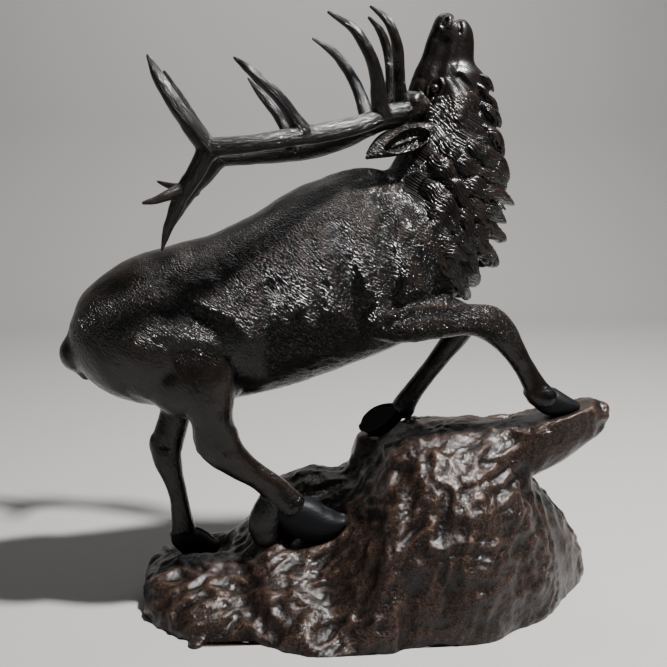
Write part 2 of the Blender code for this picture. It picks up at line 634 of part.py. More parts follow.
def tab_mesh():
    """The round-ended tab at the foot of the near side, bottom flush with the rock's."""
    centre, back = TAB_PLACE[0] * ROCK_LENGTH, TAB_PLACE[1] * ROCK_DEPTH
    half = LUG_WIDTH / 2
    outline = [(centre - half, back + 3 * LUG_WIDTH), (centre - half, back - LUG_REACH + half)]
    turns = 8
    for k in range(1, turns):
        a = math.pi + math.pi * k / turns
        outline.append((centre + half * math.cos(a), back - LUG_REACH + half + half * math.sin(a)))
    outline += [(centre + half, back - LUG_REACH + half), (centre + half, back + 3 * LUG_WIDTH)]
    count = len(outline)
    points = [(x, y, z) for z in (0, LUG_THICKNESS) for x, y in outline]
    faces = [tuple(reversed(range(count))), tuple(range(count, 2 * count))]
    faces += [(k, (k + 1) % count, count + (k + 1) % count, count + k) for k in range(count)]
    return mesh_of("tab", points, faces)


def join_tab(rock):
    """The tab cast on the rock."""
    tool = bpy.data.objects.new("tab", tab_mesh())
    bpy.context.scene.collection.objects.link(tool)
    tool.hide_render = True
    tool.display_type = "WIRE"
    union = rock.modifiers.new("tab", "BOOLEAN")
    union.operation = "UNION"
    union.object = tool


def sink_hooves(rock, elk):
    """Cut the elk's hooves out of the rock with the seat gap all round them."""
    cutter = Skin(elk.data)
    cutter.points += cutter.normals * SEAT_GAP * AROUND_CORNERS
    tool = bpy.data.objects.new("hoof prints", cutter.mesh("hoof prints"))
    bpy.context.scene.collection.objects.link(tool)
    tool.hide_render = True
    tool.display_type = "WIRE"
    cut = rock.modifiers.new("hoof prints", "BOOLEAN")
    cut.operation = "DIFFERENCE"
    cut.object = tool


def main():
    clear_scene()
    elk = placed("elk", elk_mesh(), painted_metal("patinated casting", DARK_CHOCOLATE, 0.32))
    rock = placed("rock_base", rock_mesh(), painted_metal("patinated rock", UMBER, 0.30))
    join_tab(rock)
    sink_hooves(rock, elk)


main()
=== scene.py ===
"""A cast aluminium elk bugling on a rock: hide, head, mane, ears, antlers, hooves and outcrop.

The figure is drawn in figure units, of which there are 190 from the ground to the nose, so a unit
is a centimetre at the full height. +X is the way the elk climbs and -Y its right side.
"""

from __future__ import annotations

import logging
import math
from dataclasses import dataclass, field
from enum import Enum
from typing import Optional, Sequence

import bmesh
import bpy
import numpy as np
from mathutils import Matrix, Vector, noise

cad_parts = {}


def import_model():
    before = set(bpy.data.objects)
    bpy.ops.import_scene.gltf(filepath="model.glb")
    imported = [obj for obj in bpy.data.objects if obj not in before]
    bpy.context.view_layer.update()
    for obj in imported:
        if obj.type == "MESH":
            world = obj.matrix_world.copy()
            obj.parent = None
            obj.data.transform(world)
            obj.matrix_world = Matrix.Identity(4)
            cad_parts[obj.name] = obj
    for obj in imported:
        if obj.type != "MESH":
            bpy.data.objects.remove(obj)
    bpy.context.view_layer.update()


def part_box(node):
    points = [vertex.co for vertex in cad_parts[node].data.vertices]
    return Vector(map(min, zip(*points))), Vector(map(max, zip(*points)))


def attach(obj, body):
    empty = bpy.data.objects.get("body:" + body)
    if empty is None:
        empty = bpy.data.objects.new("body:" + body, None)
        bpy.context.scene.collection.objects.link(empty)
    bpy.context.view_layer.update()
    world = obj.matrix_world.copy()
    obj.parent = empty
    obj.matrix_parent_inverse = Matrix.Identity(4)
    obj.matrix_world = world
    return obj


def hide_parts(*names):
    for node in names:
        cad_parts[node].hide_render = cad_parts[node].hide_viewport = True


LOG = logging.getLogger("elk")

Row = tuple[float, ...]
Path = Sequence[tuple[float, float]]
Array = np.ndarray
Thing = bpy.types.Object
Tree = bpy.types.NodeTree
Socket = bpy.types.NodeSocket

UNITS_TALL = 190.0
# Further than any point is from any line
FAR_OFF = 1e9


class Side(Enum):
    """The elk's two sides, by the sign of Y."""

    NEAR = -1
    FAR = 1


# The bench: what a modeller does with the scene, in a few words


def deselect() -> None:
    """Leaves nothing selected."""
    bpy.ops.object.select_all(action="DESELECT")


def activate(thing: Thing) -> None:
    """Selects one object alone.

    Args:
        thing: The object to work on.
    """
    deselect()
    thing.select_set(True)
    bpy.context.view_layer.objects.active = thing


def apply_modifier(thing: Thing, kind: str, **settings: object) -> None:
    """Adds a modifier with its settings and applies it.

    Args:
        thing: The object that takes it.
        kind: The modifier's type.
        settings: Its properties.
    """
    activate(thing)
    bpy.ops.object.modifier_add(type=kind)
    modifier = thing.modifiers[-1]
    for key, value in settings.items():
        setattr(modifier, key, value)
    bpy.ops.object.modifier_apply(modifier=modifier.name)


def joined(things: Sequence[Thing], name: str) -> Thing:
    """Joins objects into one.

    Args:
        things: The objects, which are used up.
        name: The new object's name.

    Returns:
        The one object, with its place in its mesh.
    """
    activate(things[0])
    for thing in things:
        thing.select_set(True)
    if len(things) > 1:
        bpy.ops.object.join()
    bpy.ops.object.transform_apply(location=True, rotation=True, scale=True)
    made = bpy.context.object
    made.name = made.data.name = name
    return made


def triangles_of(thing: Thing) -> int:
    """Counts the triangles of an object's mesh."""
    thing.data.calc_loop_triangles()
    return len(thing.data.loop_triangles)


def face_out() -> None:
    """Turns every face of the mesh in edit mode outwards, and leaves edit mode."""
    bpy.ops.mesh.select_all(action="SELECT")
    bpy.ops.mesh.normals_make_consistent(inside=False)
    bpy.ops.object.mode_set(mode="OBJECT")


def sliced(thing: Thing, place: Sequence[float], facing: Sequence[float]) -> Thing:
    """Cuts an object flat and closes the cut.

    Args:
        thing: The object.
        place: A point on the cut, in metres.
        facing: The way the cut faces; what lies that way is removed.

    Returns:
        The same object.
    """
    activate(thing)
    bpy.ops.object.mode_set(mode="EDIT")
    bpy.ops.mesh.select_all(action="SELECT")
    bpy.ops.mesh.bisect(plane_co=place, plane_no=facing, use_fill=True, clear_outer=True)
    bpy.ops.object.mode_set(mode="OBJECT")
    return thing


def copied(thing: Thing, name: str) -> Thing:
    """Copies an object, with a mesh of its own.

    Args:
        thing: The object.
        name: The copy's name.

    Returns:
        The copy.
    """
    activate(thing)
    bpy.ops.object.duplicate()
    copy = bpy.context.object
    copy.name = copy.data.name = name
    return copy


def thinned(thing: Thing, most: int) -> None:
    """Brings a mesh under a number of triangles, keeping what is curved.

    Args:
        thing: The object.
        most: The triangles that it may keep.
    """
    count = triangles_of(thing)
    if count > most:
        apply_modifier(thing, "TRIANGULATE")
        apply_modifier(thing, "DECIMATE", ratio=most / count, use_collapse_triangulate=True)


# Curves and sections


def through(rows: Sequence[Row], steps: int) -> Array:
    """Rows of a smooth curve through the given rows (Catmull-Rom).

    Args:
        rows: The rows to pass through.
        steps: How many rows to make for each span.

    Returns:
        One row after another, as an array.
    """
    given = np.array(rows, float)
    ends = np.vstack([2 * given[0] - given[1], given, 2 * given[-1] - given[-2]])
    t = (np.arange(steps) / steps)[:, None]
    found = []
    for i in range(len(given) - 1):
        before, start, stop, after = ends[i : i + 4]
        found.append(
            0.5 * (2 * start + (stop - before) * t
                   + (2 * before - 5 * start + 4 * stop - after) * t**2
                   + (3 * start - before - 3 * stop + after) * t**3)
        )
    return np.vstack(found + [given[-1:]])


def off_line(spots: Array, line: Array) -> Array:
    """How far points lie from a broken line.

    Args:
        spots: The points, one row each.
        line: The line's points.

    Returns:
        One distance for each point.
    """
    near = np.full(len(spots), FAR_OFF)
    for a, b in zip(line[:-1], line[1:]):
        run = b - a
        t = np.clip(((spots - a) @ run) / max(run @ run, 1e-12), 0, 1)
        near = np.minimum(near, np.linalg.norm(spots - a - t[:, None] * run, axis=1))
    return near


def unit_rows(rows: Array) -> Array:
    """Each row brought to length one."""
    return rows / np.maximum(np.linalg.norm(rows, axis=1), 1e-12)[:, None]


def eased(values: Array, low: float, high: float) -> Array:
    """A smooth step from 0 at `low` to 1 at `high`."""
    t = np.clip((values - low) / (high - low), 0, 1)
    return t * t * (3 - 2 * t)


@dataclass(frozen=True)
class Section:
    """One ring of a limb.

    Attributes:
        centre: Its middle, in metres.
        up: The way its thickness runs.
        side: The way its width runs.
        thick: Half its thickness.
        wide: Half its width.
    """

    centre: Array
    up: Array
    side: Array
    thick: float
    wide: float

    def carried(self, points: Array, onto: "Section") -> Array:
        """Moves points of this ring to their places on another.

        Args:
            points: Points on this section.
            onto: The section that they go to.

        Returns:
            The points on the other section.
        """
        off = points - self.centre
        a = off @ self.up / self.thick
        b = off @ self.side / self.wide
        return onto.centre + np.outer(a * onto.thick, onto.up) + np.outer(b * onto.wide, onto.side)


@dataclass
class Limb:
    """A round-ended limb through rows of x, y, z, half thickness and half width.

    Attributes:
        rows: The stations, in figure units.
        sides: Points round each ring.
        steps: Rings to each span.
        square: Under 1 squares the section.
    """

    rows: Sequence[Row]
    sides: int = 24
    steps: int = 4
    square: float = 1.0

    # The way every limb's width runs, roughly, and the least half size of a ring, in metres
    ACROSS = (0.0, 1.0, 0.0)
    LEAST = 2e-4
    # Where the rings of a round end lie, in degrees from its rim
    CAP_ANGLES = (78.0, 52.0, 26.0)

    def sections(self, unit: float) -> list[Section]:
        """Works out the rings, with a rounded cap at each end.

        Args:
            unit: Metres to a figure unit.

        Returns:
            The rings from end to end.
        """
        rows = through(self.rows, self.steps) * unit
        middle, half = rows[:, :3], np.maximum(rows[:, 3:5], self.LEAST)
        along = unit_rows(np.gradient(middle, axis=0))
        up = unit_rows(np.cross(np.array(self.ACROSS), along))
        side = np.cross(along, up)
        rings = [Section(middle[i], up[i], side[i], half[i, 0], half[i, 1]) for i in range(len(rows))]
        caps: tuple[list[Section], list[Section]] = ([], [])
        for end, sign, group in ((0, -1, caps[0]), (-1, 1, caps[1])):
            for degrees in self.CAP_ANGLES:
                a = math.radians(degrees)
                reach = along[end] * sign * half[end].min() * math.sin(a)
                group.append(Section(middle[end] + reach, up[end], side[end],
                                     half[end, 0] * math.cos(a), half[end, 1] * math.cos(a)))
        return caps[0] + rings + caps[1][::-1]

    def build(self, name: str, unit: float) -> Thing:
        """Draws the limb out of a circle, ring by ring.

        Args:
            name: The object's name.
            unit: Metres to a figure unit.

        Returns:
            A closed mesh object.
        """
        sections = self.sections(unit)
        deselect()
        bpy.ops.mesh.primitive_circle_add(vertices=self.sides, radius=1, fill_type="NGON")
        thing = bpy.context.object
        thing.name = name
        bpy.ops.object.mode_set(mode="EDIT")
        shell = bmesh.from_edit_mesh(thing.data)
        flat = np.array([v.co[:2] for v in shell.verts])
        flat = np.sign(flat) * np.abs(flat) ** self.square
        first = sections[0]
        places = first.centre + np.outer(flat[:, 0] * first.thick, first.up) + np.outer(
            flat[:, 1] * first.wide, first.side)
        for vert, place in zip(shell.verts, places):
            vert.co = place
        bmesh.update_edit_mesh(thing.data)
        for before, after in zip(sections, sections[1:]):
            bpy.ops.mesh.extrude_region_move()
            shell = bmesh.from_edit_mesh(thing.data)
            ring = [v for v in shell.verts if v.select]
            for vert, place in zip(ring, before.carried(np.array([v.co for v in ring]), after)):
                vert.co = place
            bmesh.update_edit_mesh(thing.data)
        face_out()
        return thing


@dataclass
class Swelling:
    """A muscle as an ellipsoid.

    Attributes:
        centre: Its middle, in figure units.
        radii: Its half sizes, the first along the way it is turned.
        turn: How far up its length is turned, in degrees, seen from the near side.
    """

    centre: tuple[float, float, float]
    radii: tuple[float, float, float]
    turn: float = 0.0

    SEGMENTS, RINGS = 28, 18

    def build(self, name: str, unit: float) -> Thing:
        """Makes the muscle.

        Args:
            name: The object's name.
            unit: Metres to a figure unit.

        Returns:
            A closed mesh object.
        """
        deselect()
        bpy.ops.mesh.primitive_uv_sphere_add(
            segments=self.SEGMENTS, ring_count=self.RINGS, radius=1,
            location=[c * unit for c in self.centre],
            rotation=(0, -math.radians(self.turn), 0),
            scale=[r * unit for r in self.radii],
        )
        thing = bpy.context.object
        thing.name = name
        bpy.ops.object.transform_apply(location=True, rotation=True, scale=True)
        return thing


# Clouds: smooth values in space that are the same each run

# Large odd numbers that mix a cell's place and the seed
MIXERS = (73856093, 19349663, 83492791, 2654435, 1274126177)
SEED_SHIFT = 17.31
# How far strands wander, over what length, both as shares of their own, and the fields that say so
WANDER, WANDER_LONG, WANDER_SEEDS = 0.12, 2.2, (5, 6, 7)


def cloud(points: Array, size: float, seed: int = 0) -> Array:
    """A smooth field from -1 to 1, its lumps about `size` across.

    Args:
        points: Where to read it, one row each.
        size: The lumps' size, in the points' units.
        seed: Picks another field.

    Returns:
        One value for each point.
    """
    at = points / size + seed * SEED_SHIFT
    cell = np.floor(at).astype(np.int64)
    t = at - cell
    t = t * t * (3 - 2 * t)
    total = np.zeros(len(points))
    for corner in np.ndindex(2, 2, 2):
        key = cell + corner
        mixed = key[:, 0] * MIXERS[0] ^ key[:, 1] * MIXERS[1] ^ key[:, 2] * MIXERS[2] ^ (seed * MIXERS[3])
        mixed = (mixed ^ (mixed >> 13)) * MIXERS[4] & 0x7FFFFFFF
        value = ((mixed ^ (mixed >> 16)) & 0xFFFF) / 32767.5 - 1
        share = np.ones(len(points))
        for axis, high in enumerate(corner):
            share *= t[:, axis] if high else 1 - t[:, axis]
        total += value * share
    return total


def strands(points: Array, degrees: float, long: float, wide: float, seed: int = 0) -> Array:
    """A field drawn out along one direction of the side view, as short hair lies.

    Args:
        points: Where to read it.
        degrees: The direction, from +X towards +Z.
        long: A strand's length.
        wide: Its width.
        seed: Picks another field.

    Returns:
        One value from -1 to 1 for each point.
    """
    a = math.radians(degrees)
    lean = np.stack([cloud(points, long * WANDER_LONG, seed + s) for s in WANDER_SEEDS], axis=1)
    bent = points + WANDER * long * lean
    along = bent @ np.array([math.cos(a), 0, math.sin(a)])
    over = bent @ np.array([-math.sin(a), 0, math.cos(a)])
    return cloud(np.stack([along / long, bent[:, 1] / wide, over / wide], axis=1), 1.0, seed)


class Relief:
    """A mesh's points held as an array while its surface is worked.

    Attributes:
        thing: The object that is worked.
        unit: Metres to a figure unit.
        points: The points, in metres.
        normals: Their normals.
    """

    # Points that a path gets between two of its own, and how soon a groove fades where the skin turns
    # away from the side view
    PATH_STEPS = 5
    TURNED = 1.6

    def __init__(self, thing: Thing, unit: float) -> None:
        """Reads the mesh.

        Args:
            thing: The object to work.
            unit: Metres to a figure unit.
        """
        self.thing, self.unit = thing, unit
        self.points = np.empty(0)
        self.normals = np.empty(0)
        self.read()

    def read(self) -> None:
        """Takes the points and normals from the mesh."""
        verts = self.thing.data.vertices
        for key, name in (("co", "points"), ("normal", "normals")):
            flat = np.empty(len(verts) * 3, np.float32)
            verts.foreach_get(key, flat)
            setattr(self, name, flat.reshape(-1, 3).astype(float))

    def write(self) -> None:
        """Puts the points back in the mesh and reads the new normals."""
        self.thing.data.vertices.foreach_set("co", self.points.astype(np.float32).ravel())
        self.thing.data.update()
        self.read()

    def raise_by(self, height: Array) -> None:
        """Moves each point along its normal, in figure units."""
        self.points += self.normals * (height * self.unit)[:, None]

    def press(self, path: Path, width: float, depth: float, beyond: float = 0.0,
              side: Optional[Side] = None) -> None:
        """Sinks the skin along a path seen from the side; a negative depth raises it.

        Args:
            path: Points of x and z, in figure units.
            width: Half the groove's width.
            depth: Its depth.
            beyond: Only skin further than this from the middle plane moves.
            side: One side only, or both if left out.
        """
        line = through(path, self.PATH_STEPS) * self.unit
        flat = self.points[:, [0, 2]]
        reach = width * self.unit
        inside = np.all((flat > line.min(axis=0) - reach) & (flat < line.max(axis=0) + reach), axis=1)
        inside &= np.abs(self.points[:, 1]) >= beyond * self.unit
        if side:
            inside &= self.points[:, 1] * side.value > 0
        fade = np.clip(1 - (off_line(flat[inside], line) / reach) ** 2, 0, 1) ** 2
        fade *= np.clip(np.abs(self.normals[inside, 1]) * self.TURNED, 0, 1)
        self.points[inside] -= self.normals[inside] * (depth * self.unit * fade)[:, None]

    def groove(self, path: Sequence[Row], width: float, depth: float) -> None:
        """Sinks the skin near a line in space; a negative depth raises it.

        Args:
            path: Points of x, y and z, in figure units.
            width: Half the groove's width.
            depth: Its depth.
        """
        line = through(path, self.PATH_STEPS) * self.unit
        reach = width * self.unit
        low, high = line.min(axis=0) - reach, line.max(axis=0) + reach
        inside = np.all((self.points > low) & (self.points < high), axis=1)
        fade = np.clip(1 - (off_line(self.points[inside], line) / reach) ** 2, 0, 1) ** 2
        self.points[inside] -= self.normals[inside] * (depth * self.unit * fade)[:, None]

    def cavity(self, rounds: int, depth: float) -> Array:
        """How far each point stands out of the skin round it.

        Args:
            rounds: How far round it is looked at.
            depth: The depth that counts as a full recess, in figure units.

        Returns:
            0 in the recesses to 1 on what stands up, one value for each point.
        """
        mesh = self.thing.data
        edges = np.empty(len(mesh.edges) * 2, np.int32)
        mesh.edges.foreach_get("vertices", edges)
        starts, stops = edges.reshape(-1, 2).T
        ends = np.concatenate([starts, stops])
        others = np.concatenate([stops, starts])
        count = np.maximum(np.bincount(ends, minlength=len(self.points)), 1)
        soft = self.points.copy()
        for _ in range(rounds):
            sums = [np.bincount(ends, soft[others, k], len(soft)) for k in range(3)]
            soft = np.stack(sums, axis=1) / count[:, None]
        deep = np.einsum("ij,ij->i", soft - self.points, self.normals) / (depth * self.unit)
        return np.clip(0.5 - 0.5 * deep, 0, 1)

    def swell(self, centre: tuple[float, float, float], radius: float, height: float) -> None:
        """Raises the skin round a point; a negative height sinks it.

        Args:
            centre: The point, in figure units.
            radius: How far it reaches.
            height: How far it rises.
        """
        away = np.linalg.norm(self.points - np.array(centre) * self.unit, axis=1) / (radius * self.unit)
        self.raise_by(height * np.clip(1 - away**2, 0, 1) ** 2)


def fused(parts: Sequence[Thing], name: str, voxel: float, smooth: int) -> Thing:
    """One skin round overlapping parts.

    Args:
        parts: Closed objects, which are used up.
        name: The skin's name.
        voxel: The remesh's cell, in metres.
        smooth: How often its joins are softened.

    Returns:
        The skin.
    """
    made = joined(parts, name)
    apply_modifier(made, "REMESH", mode="VOXEL", voxel_size=voxel)
    if smooth:
        apply_modifier(made, "SMOOTH", factor=0.5, iterations=smooth)
    return made


def largest_only(thing: Thing) -> None:
    """Removes crumbs that a cut or a remesh left beside the main shell.

    Args:
        thing: The object, which keeps its biggest closed piece.
    """
    mesh = thing.data
    edges = np.empty(len(mesh.edges) * 2, np.int32)
    mesh.edges.foreach_get("vertices", edges)
    edges = edges.reshape(-1, 2)
    group = np.arange(len(mesh.vertices))
    while True:
        low = np.minimum(group[edges[:, 0]], group[edges[:, 1]])
        before = group.copy()
        np.minimum.at(group, edges[:, 0], low)
        np.minimum.at(group, edges[:, 1], low)
        group = group[group]
        if np.array_equal(group, before):
            break
    kept = np.bincount(group).argmax()
    if (group == kept).all():
        return
    shell = bmesh.new()
    shell.from_mesh(mesh)
    shell.verts.ensure_lookup_table()
    bmesh.ops.delete(shell, geom=[shell.verts[i] for i in np.flatnonzero(group != kept)], context="VERTS")
    shell.to_mesh(mesh)
    shell.free()


# Finishes


def linear(code: str) -> tuple[float, float, float, float]:
    """Turns an sRGB hex code into the linear colour that a shader takes."""
    parts = [int(code[i : i + 2], 16) / 255 for i in (1, 3, 5)]
    return (*[c / 12.92 if c <= 0.04045 else ((c + 0.055) / 1.055) ** 2.4 for c in parts], 1.0)


def add_node(tree: Tree, kind: str, inputs: Optional[dict] = None, **settings: object) -> bpy.types.Node:
    """Adds a node with its settings and links.

    Args:
        tree: The material's node tree.
        kind: The node's type, without its ShaderNode start.
        inputs: Socket name or number, with a value or the socket that feeds it.
        settings: The node's own properties.

    Returns:
        The node.
    """
    node = tree.nodes.new("ShaderNode" + kind)
    for key, value in settings.items():
        setattr(node, key, value)
    for key, value in (inputs or {}).items():
        if isinstance(value, Socket):
            tree.links.new(value, node.inputs[key])
        else:
            node.inputs[key].default_value = value
    return node


@dataclass(frozen=True)
class Patina:
    """Brown patina on cast aluminium under glossy lacquer.

    The lacquer gives the small bright highlights, and the patina is thinner and warmer on what
    stands up than in the recesses.

    Attributes:
        name: The material's name.
        recess: sRGB colour of the recesses.
        middle: sRGB colour of most of the surface.
        worn: sRGB colour where it is rubbed.
        bare: sRGB colour where it is rubbed through.
        roughness: Of the patina.
        lacquer: How rough the lacquer is.
        metallic: How much of the metal shows through.
        coat: How thick the lacquer is.
        depth: How deep the fine relief is cut, in mm.
    """

    name: str
    recess: str = "#030202"
    middle: str = "#0c0705"
    worn: str = "#1e130d"
    bare: str = "#584031"
    roughness: float = 0.42
    lacquer: float = 0.17
    metallic: float = 0.25
    coat: float = 0.9
    depth: float = 1.0

    # Where the four colours lie, from the deepest recess to what stands up most
    STOPS = (0.2, 0.48, 0.8, 1.0)
    # The patina's own shine, and the index of a thin lacquer
    SHINE, LACQUER_IOR = 0.12, 1.36
    # The fine relief stays below 0.8, so that only the mesh's own rubbed places lose their patina;
    # then how much more the mesh's relief counts than the fine one
    FINE, MESH_SHARE = 0.66, 0.6
    # Patches of thinner patina: 14 to a metre, so about 70 mm across, and how far they shift the tone
    PATCHES, PATCH_RANGE, PATCH_SHIFT = 14.0, (0.3, 0.7), (-0.12, 0.1)
    # Pits of the sand mould: 330 to a metre, so 3 mm across, and their strength and depth in metres
    PITS, PIT_STRENGTH, PIT_DEEP = 330.0, 0.35, 0.0012

    def pattern(self, tree: Tree, where: Socket) -> tuple[Socket, Socket]:
        """Draws the finish's own relief.

        Args:
            tree: The material's node tree.
            where: Object coordinates.

        Returns:
            The height that the colour follows, and the height that is cut.
        """
        raise NotImplementedError

    def material(self) -> bpy.types.Material:
        """Makes the finish: its relief, and then the colour and the lacquer over it.

        Returns:
            The material.
        """
        material = bpy.data.materials.new(self.name)
        material.use_nodes = True
        tree = material.node_tree
        shader = tree.nodes["Principled BSDF"]
        for socket, value in (
            ("Metallic", self.metallic), ("Roughness", self.roughness), ("Specular IOR Level", self.SHINE),
            ("Coat Weight", self.coat), ("Coat Roughness", self.lacquer), ("Coat IOR", self.LACQUER_IOR),
        ):
            shader.inputs[socket].default_value = value
        where = add_node(tree, "TexCoord").outputs["Object"]
        tone, height = self.pattern(tree, where)
        tree.links.new(self.colour(tree, tone, where), shader.inputs["Base Color"])
        cut = self.carved(tree, height, where)
        tree.links.new(cut, shader.inputs["Normal"])
        tree.links.new(cut, shader.inputs["Coat Normal"])
        return material

    def colour(self, tree: Tree, height: Socket, where: Socket) -> Socket:
        """Colours the patina by the height of the relief, with slow changes over the surface.

        Args:
            tree: The material's node tree.
            height: 0 in the recesses to 1 on what stands up.
            where: Object coordinates.

        Returns:
            The colour.
        """
        # The mesh says which parts of it are recessed.
        deep = add_node(tree, "Attribute", attribute_name="cavity", attribute_type="GEOMETRY")
        finer = add_node(tree, "Math", {0: height, 1: self.FINE}, operation="MULTIPLY")
        carved = add_node(tree, "Mix", {"Factor": self.MESH_SHARE, "A": finer.outputs[0],
                                        "B": deep.outputs["Fac"]}, data_type="FLOAT")
        patches = add_node(tree, "TexNoise", {"Vector": where, "Scale": self.PATCHES, "Detail": 4.0,
                                              "Roughness": 0.6})
        low, high = self.PATCH_RANGE
        least, most = self.PATCH_SHIFT
        mixed = add_node(tree, "MapRange", {"Value": patches.outputs["Fac"], "From Min": low,
                                            "From Max": high, "To Min": least, "To Max": most})
        total = add_node(tree, "Math", {0: carved.outputs[0], 1: mixed.outputs[0]}, operation="ADD",
                         use_clamp=True)
        tone = add_node(tree, "ValToRGB", {"Fac": total.outputs[0]})
        elements = tone.color_ramp.elements
        while len(elements) < len(self.STOPS):
            elements.new(0.5)
        codes = (self.recess, self.middle, self.worn, self.bare)
        for element, place, code in zip(elements, self.STOPS, codes):
            element.position = place
            element.color = linear(code)
        return tone.outputs["Color"]

    def carved(self, tree: Tree, height: Socket, where: Socket) -> Socket:
        """Cuts the fine relief over the pits of the sand mould.

        Args:
            tree: The material's node tree.
            height: The relief's height.
            where: Object coordinates.

        Returns:
            The normal of the worked surface.
        """
        pits = add_node(tree, "TexNoise", {"Vector": where, "Scale": self.PITS, "Detail": 2.0})
        fine = add_node(tree, "Bump", {"Height": pits.outputs["Fac"], "Strength": self.PIT_STRENGTH,
                                       "Distance": self.PIT_DEEP})
        return add_node(tree, "Bump", {"Height": height, "Strength": 1.0, "Distance": self.depth / 1000,
                                       "Normal": fine.outputs[0]}).outputs[0]

    def drawn_out(self, tree: Tree, where: Socket, scale: Row, **grain: float) -> Socket:
        """Noise whose lumps are longer one way than another.

        Args:
            tree: The material's node tree.
            where: The coordinates that it reads.
            scale: How many lumps go to a unit of each of them.
            grain: The noise's other inputs.

        Returns:
            Its height.
        """
        stretched = add_node(tree, "Mapping", {"Vector": where, "Scale": scale}, vector_type="POINT")
        noisy = add_node(tree, "TexNoise", {"Vector": stretched.outputs[0], "Scale": 1.0, **grain})
        return noisy.outputs["Fac"]


@dataclass(frozen=True)
class HidePatina(Patina):
    """Patina over hide with short hair cut into it.

    The piece carries the attribute `flow`: how much the hair lies as on a leg and as on the neck,
    and how little the patina is blackened.

    Attributes:
        stroke_long: A hair stroke's length, in mm.
        stroke_wide: Its width, in mm, coarser than the real 1 mm so that it shows.
    """

    depth: float = 5.0
    stroke_long: float = 17.0
    stroke_wide: float = 4.6

    # The way the hair lies on the trunk, the legs and the neck, in degrees seen from the near side
    LIES = (320.0, 292.0, 314.0)
    # The strokes wander every 80 mm or so, 12 to a metre, by up to half of this many metres
    WANDERS, WANDER_FAR = 12.0, 0.022
    # Between which heights a stroke is cut on the trunk, and how far both spread where it is smooth
    EDGE, SMOOTHER = (0.34, 0.62), 1.3

    def hair(self, tree: Tree, where: Socket, degrees: float) -> Socket:
        """Strokes along one direction.

        Args:
            tree: The material's node tree.
            where: Object coordinates.
            degrees: The way they lie, seen from the near side.

        Returns:
            Their height.
        """
        turned = add_node(tree, "Mapping", {"Vector": where, "Rotation": (0, math.radians(degrees), 0)},
                          vector_type="POINT").outputs[0]
        scale = (1000 / self.stroke_long, 1000 / self.stroke_wide, 1000 / self.stroke_wide)
        return self.drawn_out(tree, turned, scale, Detail=1.5, Roughness=0.55)

    def pattern(self, tree: Tree, where: Socket) -> tuple[Socket, Socket]:
        """Draws the strokes.

        Args:
            tree: The material's node tree.
            where: Object coordinates.

        Returns:
            The height that the colour follows, and the height that is cut.
        """
        # The space that the strokes are read in is bent by a slow noise.
        bend = add_node(tree, "TexNoise", {"Vector": where, "Scale": self.WANDERS, "Detail": 1.0})
        centred = add_node(tree, "VectorMath", {0: bend.outputs["Color"], 1: (0.5, 0.5, 0.5)},
                           operation="SUBTRACT")
        scaled = add_node(tree, "VectorMath", {0: centred.outputs[0], "Scale": self.WANDER_FAR},
                          operation="SCALE")
        bent = add_node(tree, "VectorMath", {0: where, 1: scaled.outputs[0]}, operation="ADD").outputs[0]
        flow = add_node(tree, "Attribute", attribute_name="flow", attribute_type="GEOMETRY")
        leg, throat, light = add_node(tree, "SeparateColor", {"Color": flow.outputs["Color"]}).outputs
        trunk, legs, neck = [self.hair(tree, bent, degrees) for degrees in self.LIES]
        lower = add_node(tree, "Mix", {"Factor": leg, "A": trunk, "B": legs}, data_type="FLOAT")
        strokes = add_node(tree, "Mix", {"Factor": throat, "A": lower.outputs[0], "B": neck},
                           data_type="FLOAT")
        # The legs and the face are nearly smooth.
        low, high = [
            add_node(tree, "Math", {0: leg, 1: spread, 2: edge}, operation="MULTIPLY_ADD").outputs[0]
            for spread, edge in zip((-self.SMOOTHER, self.SMOOTHER), self.EDGE)
        ]
        sharp = add_node(tree, "MapRange", {"Value": strokes.outputs[0], "From Min": low, "From Max": high},
                         interpolation_type="SMOOTHSTEP").outputs[0]
        # The patina darkens towards the hooves.
        return add_node(tree, "Math", {0: sharp, 1: light}, operation="MULTIPLY").outputs[0], sharp


@dataclass(frozen=True)
class StrandPatina(Patina):
    """Patina over long hair, with strands combed along each lock.

    The piece carries the attribute `comb`: how far across, along and through the lock each point
    lies, in centimetres.
    """

    depth: float = 2.2

    # Strands to a centimetre across, along and through: about 5 by 28 by 8 mm
    STRANDS = (1.9, 0.36, 1.2)
    EDGE = (0.34, 0.62)

    def pattern(self, tree: Tree, where: Socket) -> tuple[Socket, Socket]:
        """Draws the strands.

        Args:
            tree: The material's node tree.
            where: Object coordinates.

        Returns:
            The height that the colour follows, and the height that is cut.
        """
        comb = add_node(tree, "Attribute", attribute_name="comb", attribute_type="GEOMETRY")
        hair = self.drawn_out(tree, comb.outputs["Vector"], self.STRANDS, Detail=1.5, Roughness=0.55,
                              Distortion=0.25)
        low, high = self.EDGE
        sharp = add_node(tree, "MapRange", {"Value": hair, "From Min": low, "From Max": high},
                         interpolation_type="SMOOTHSTEP").outputs[0]
        return sharp, sharp


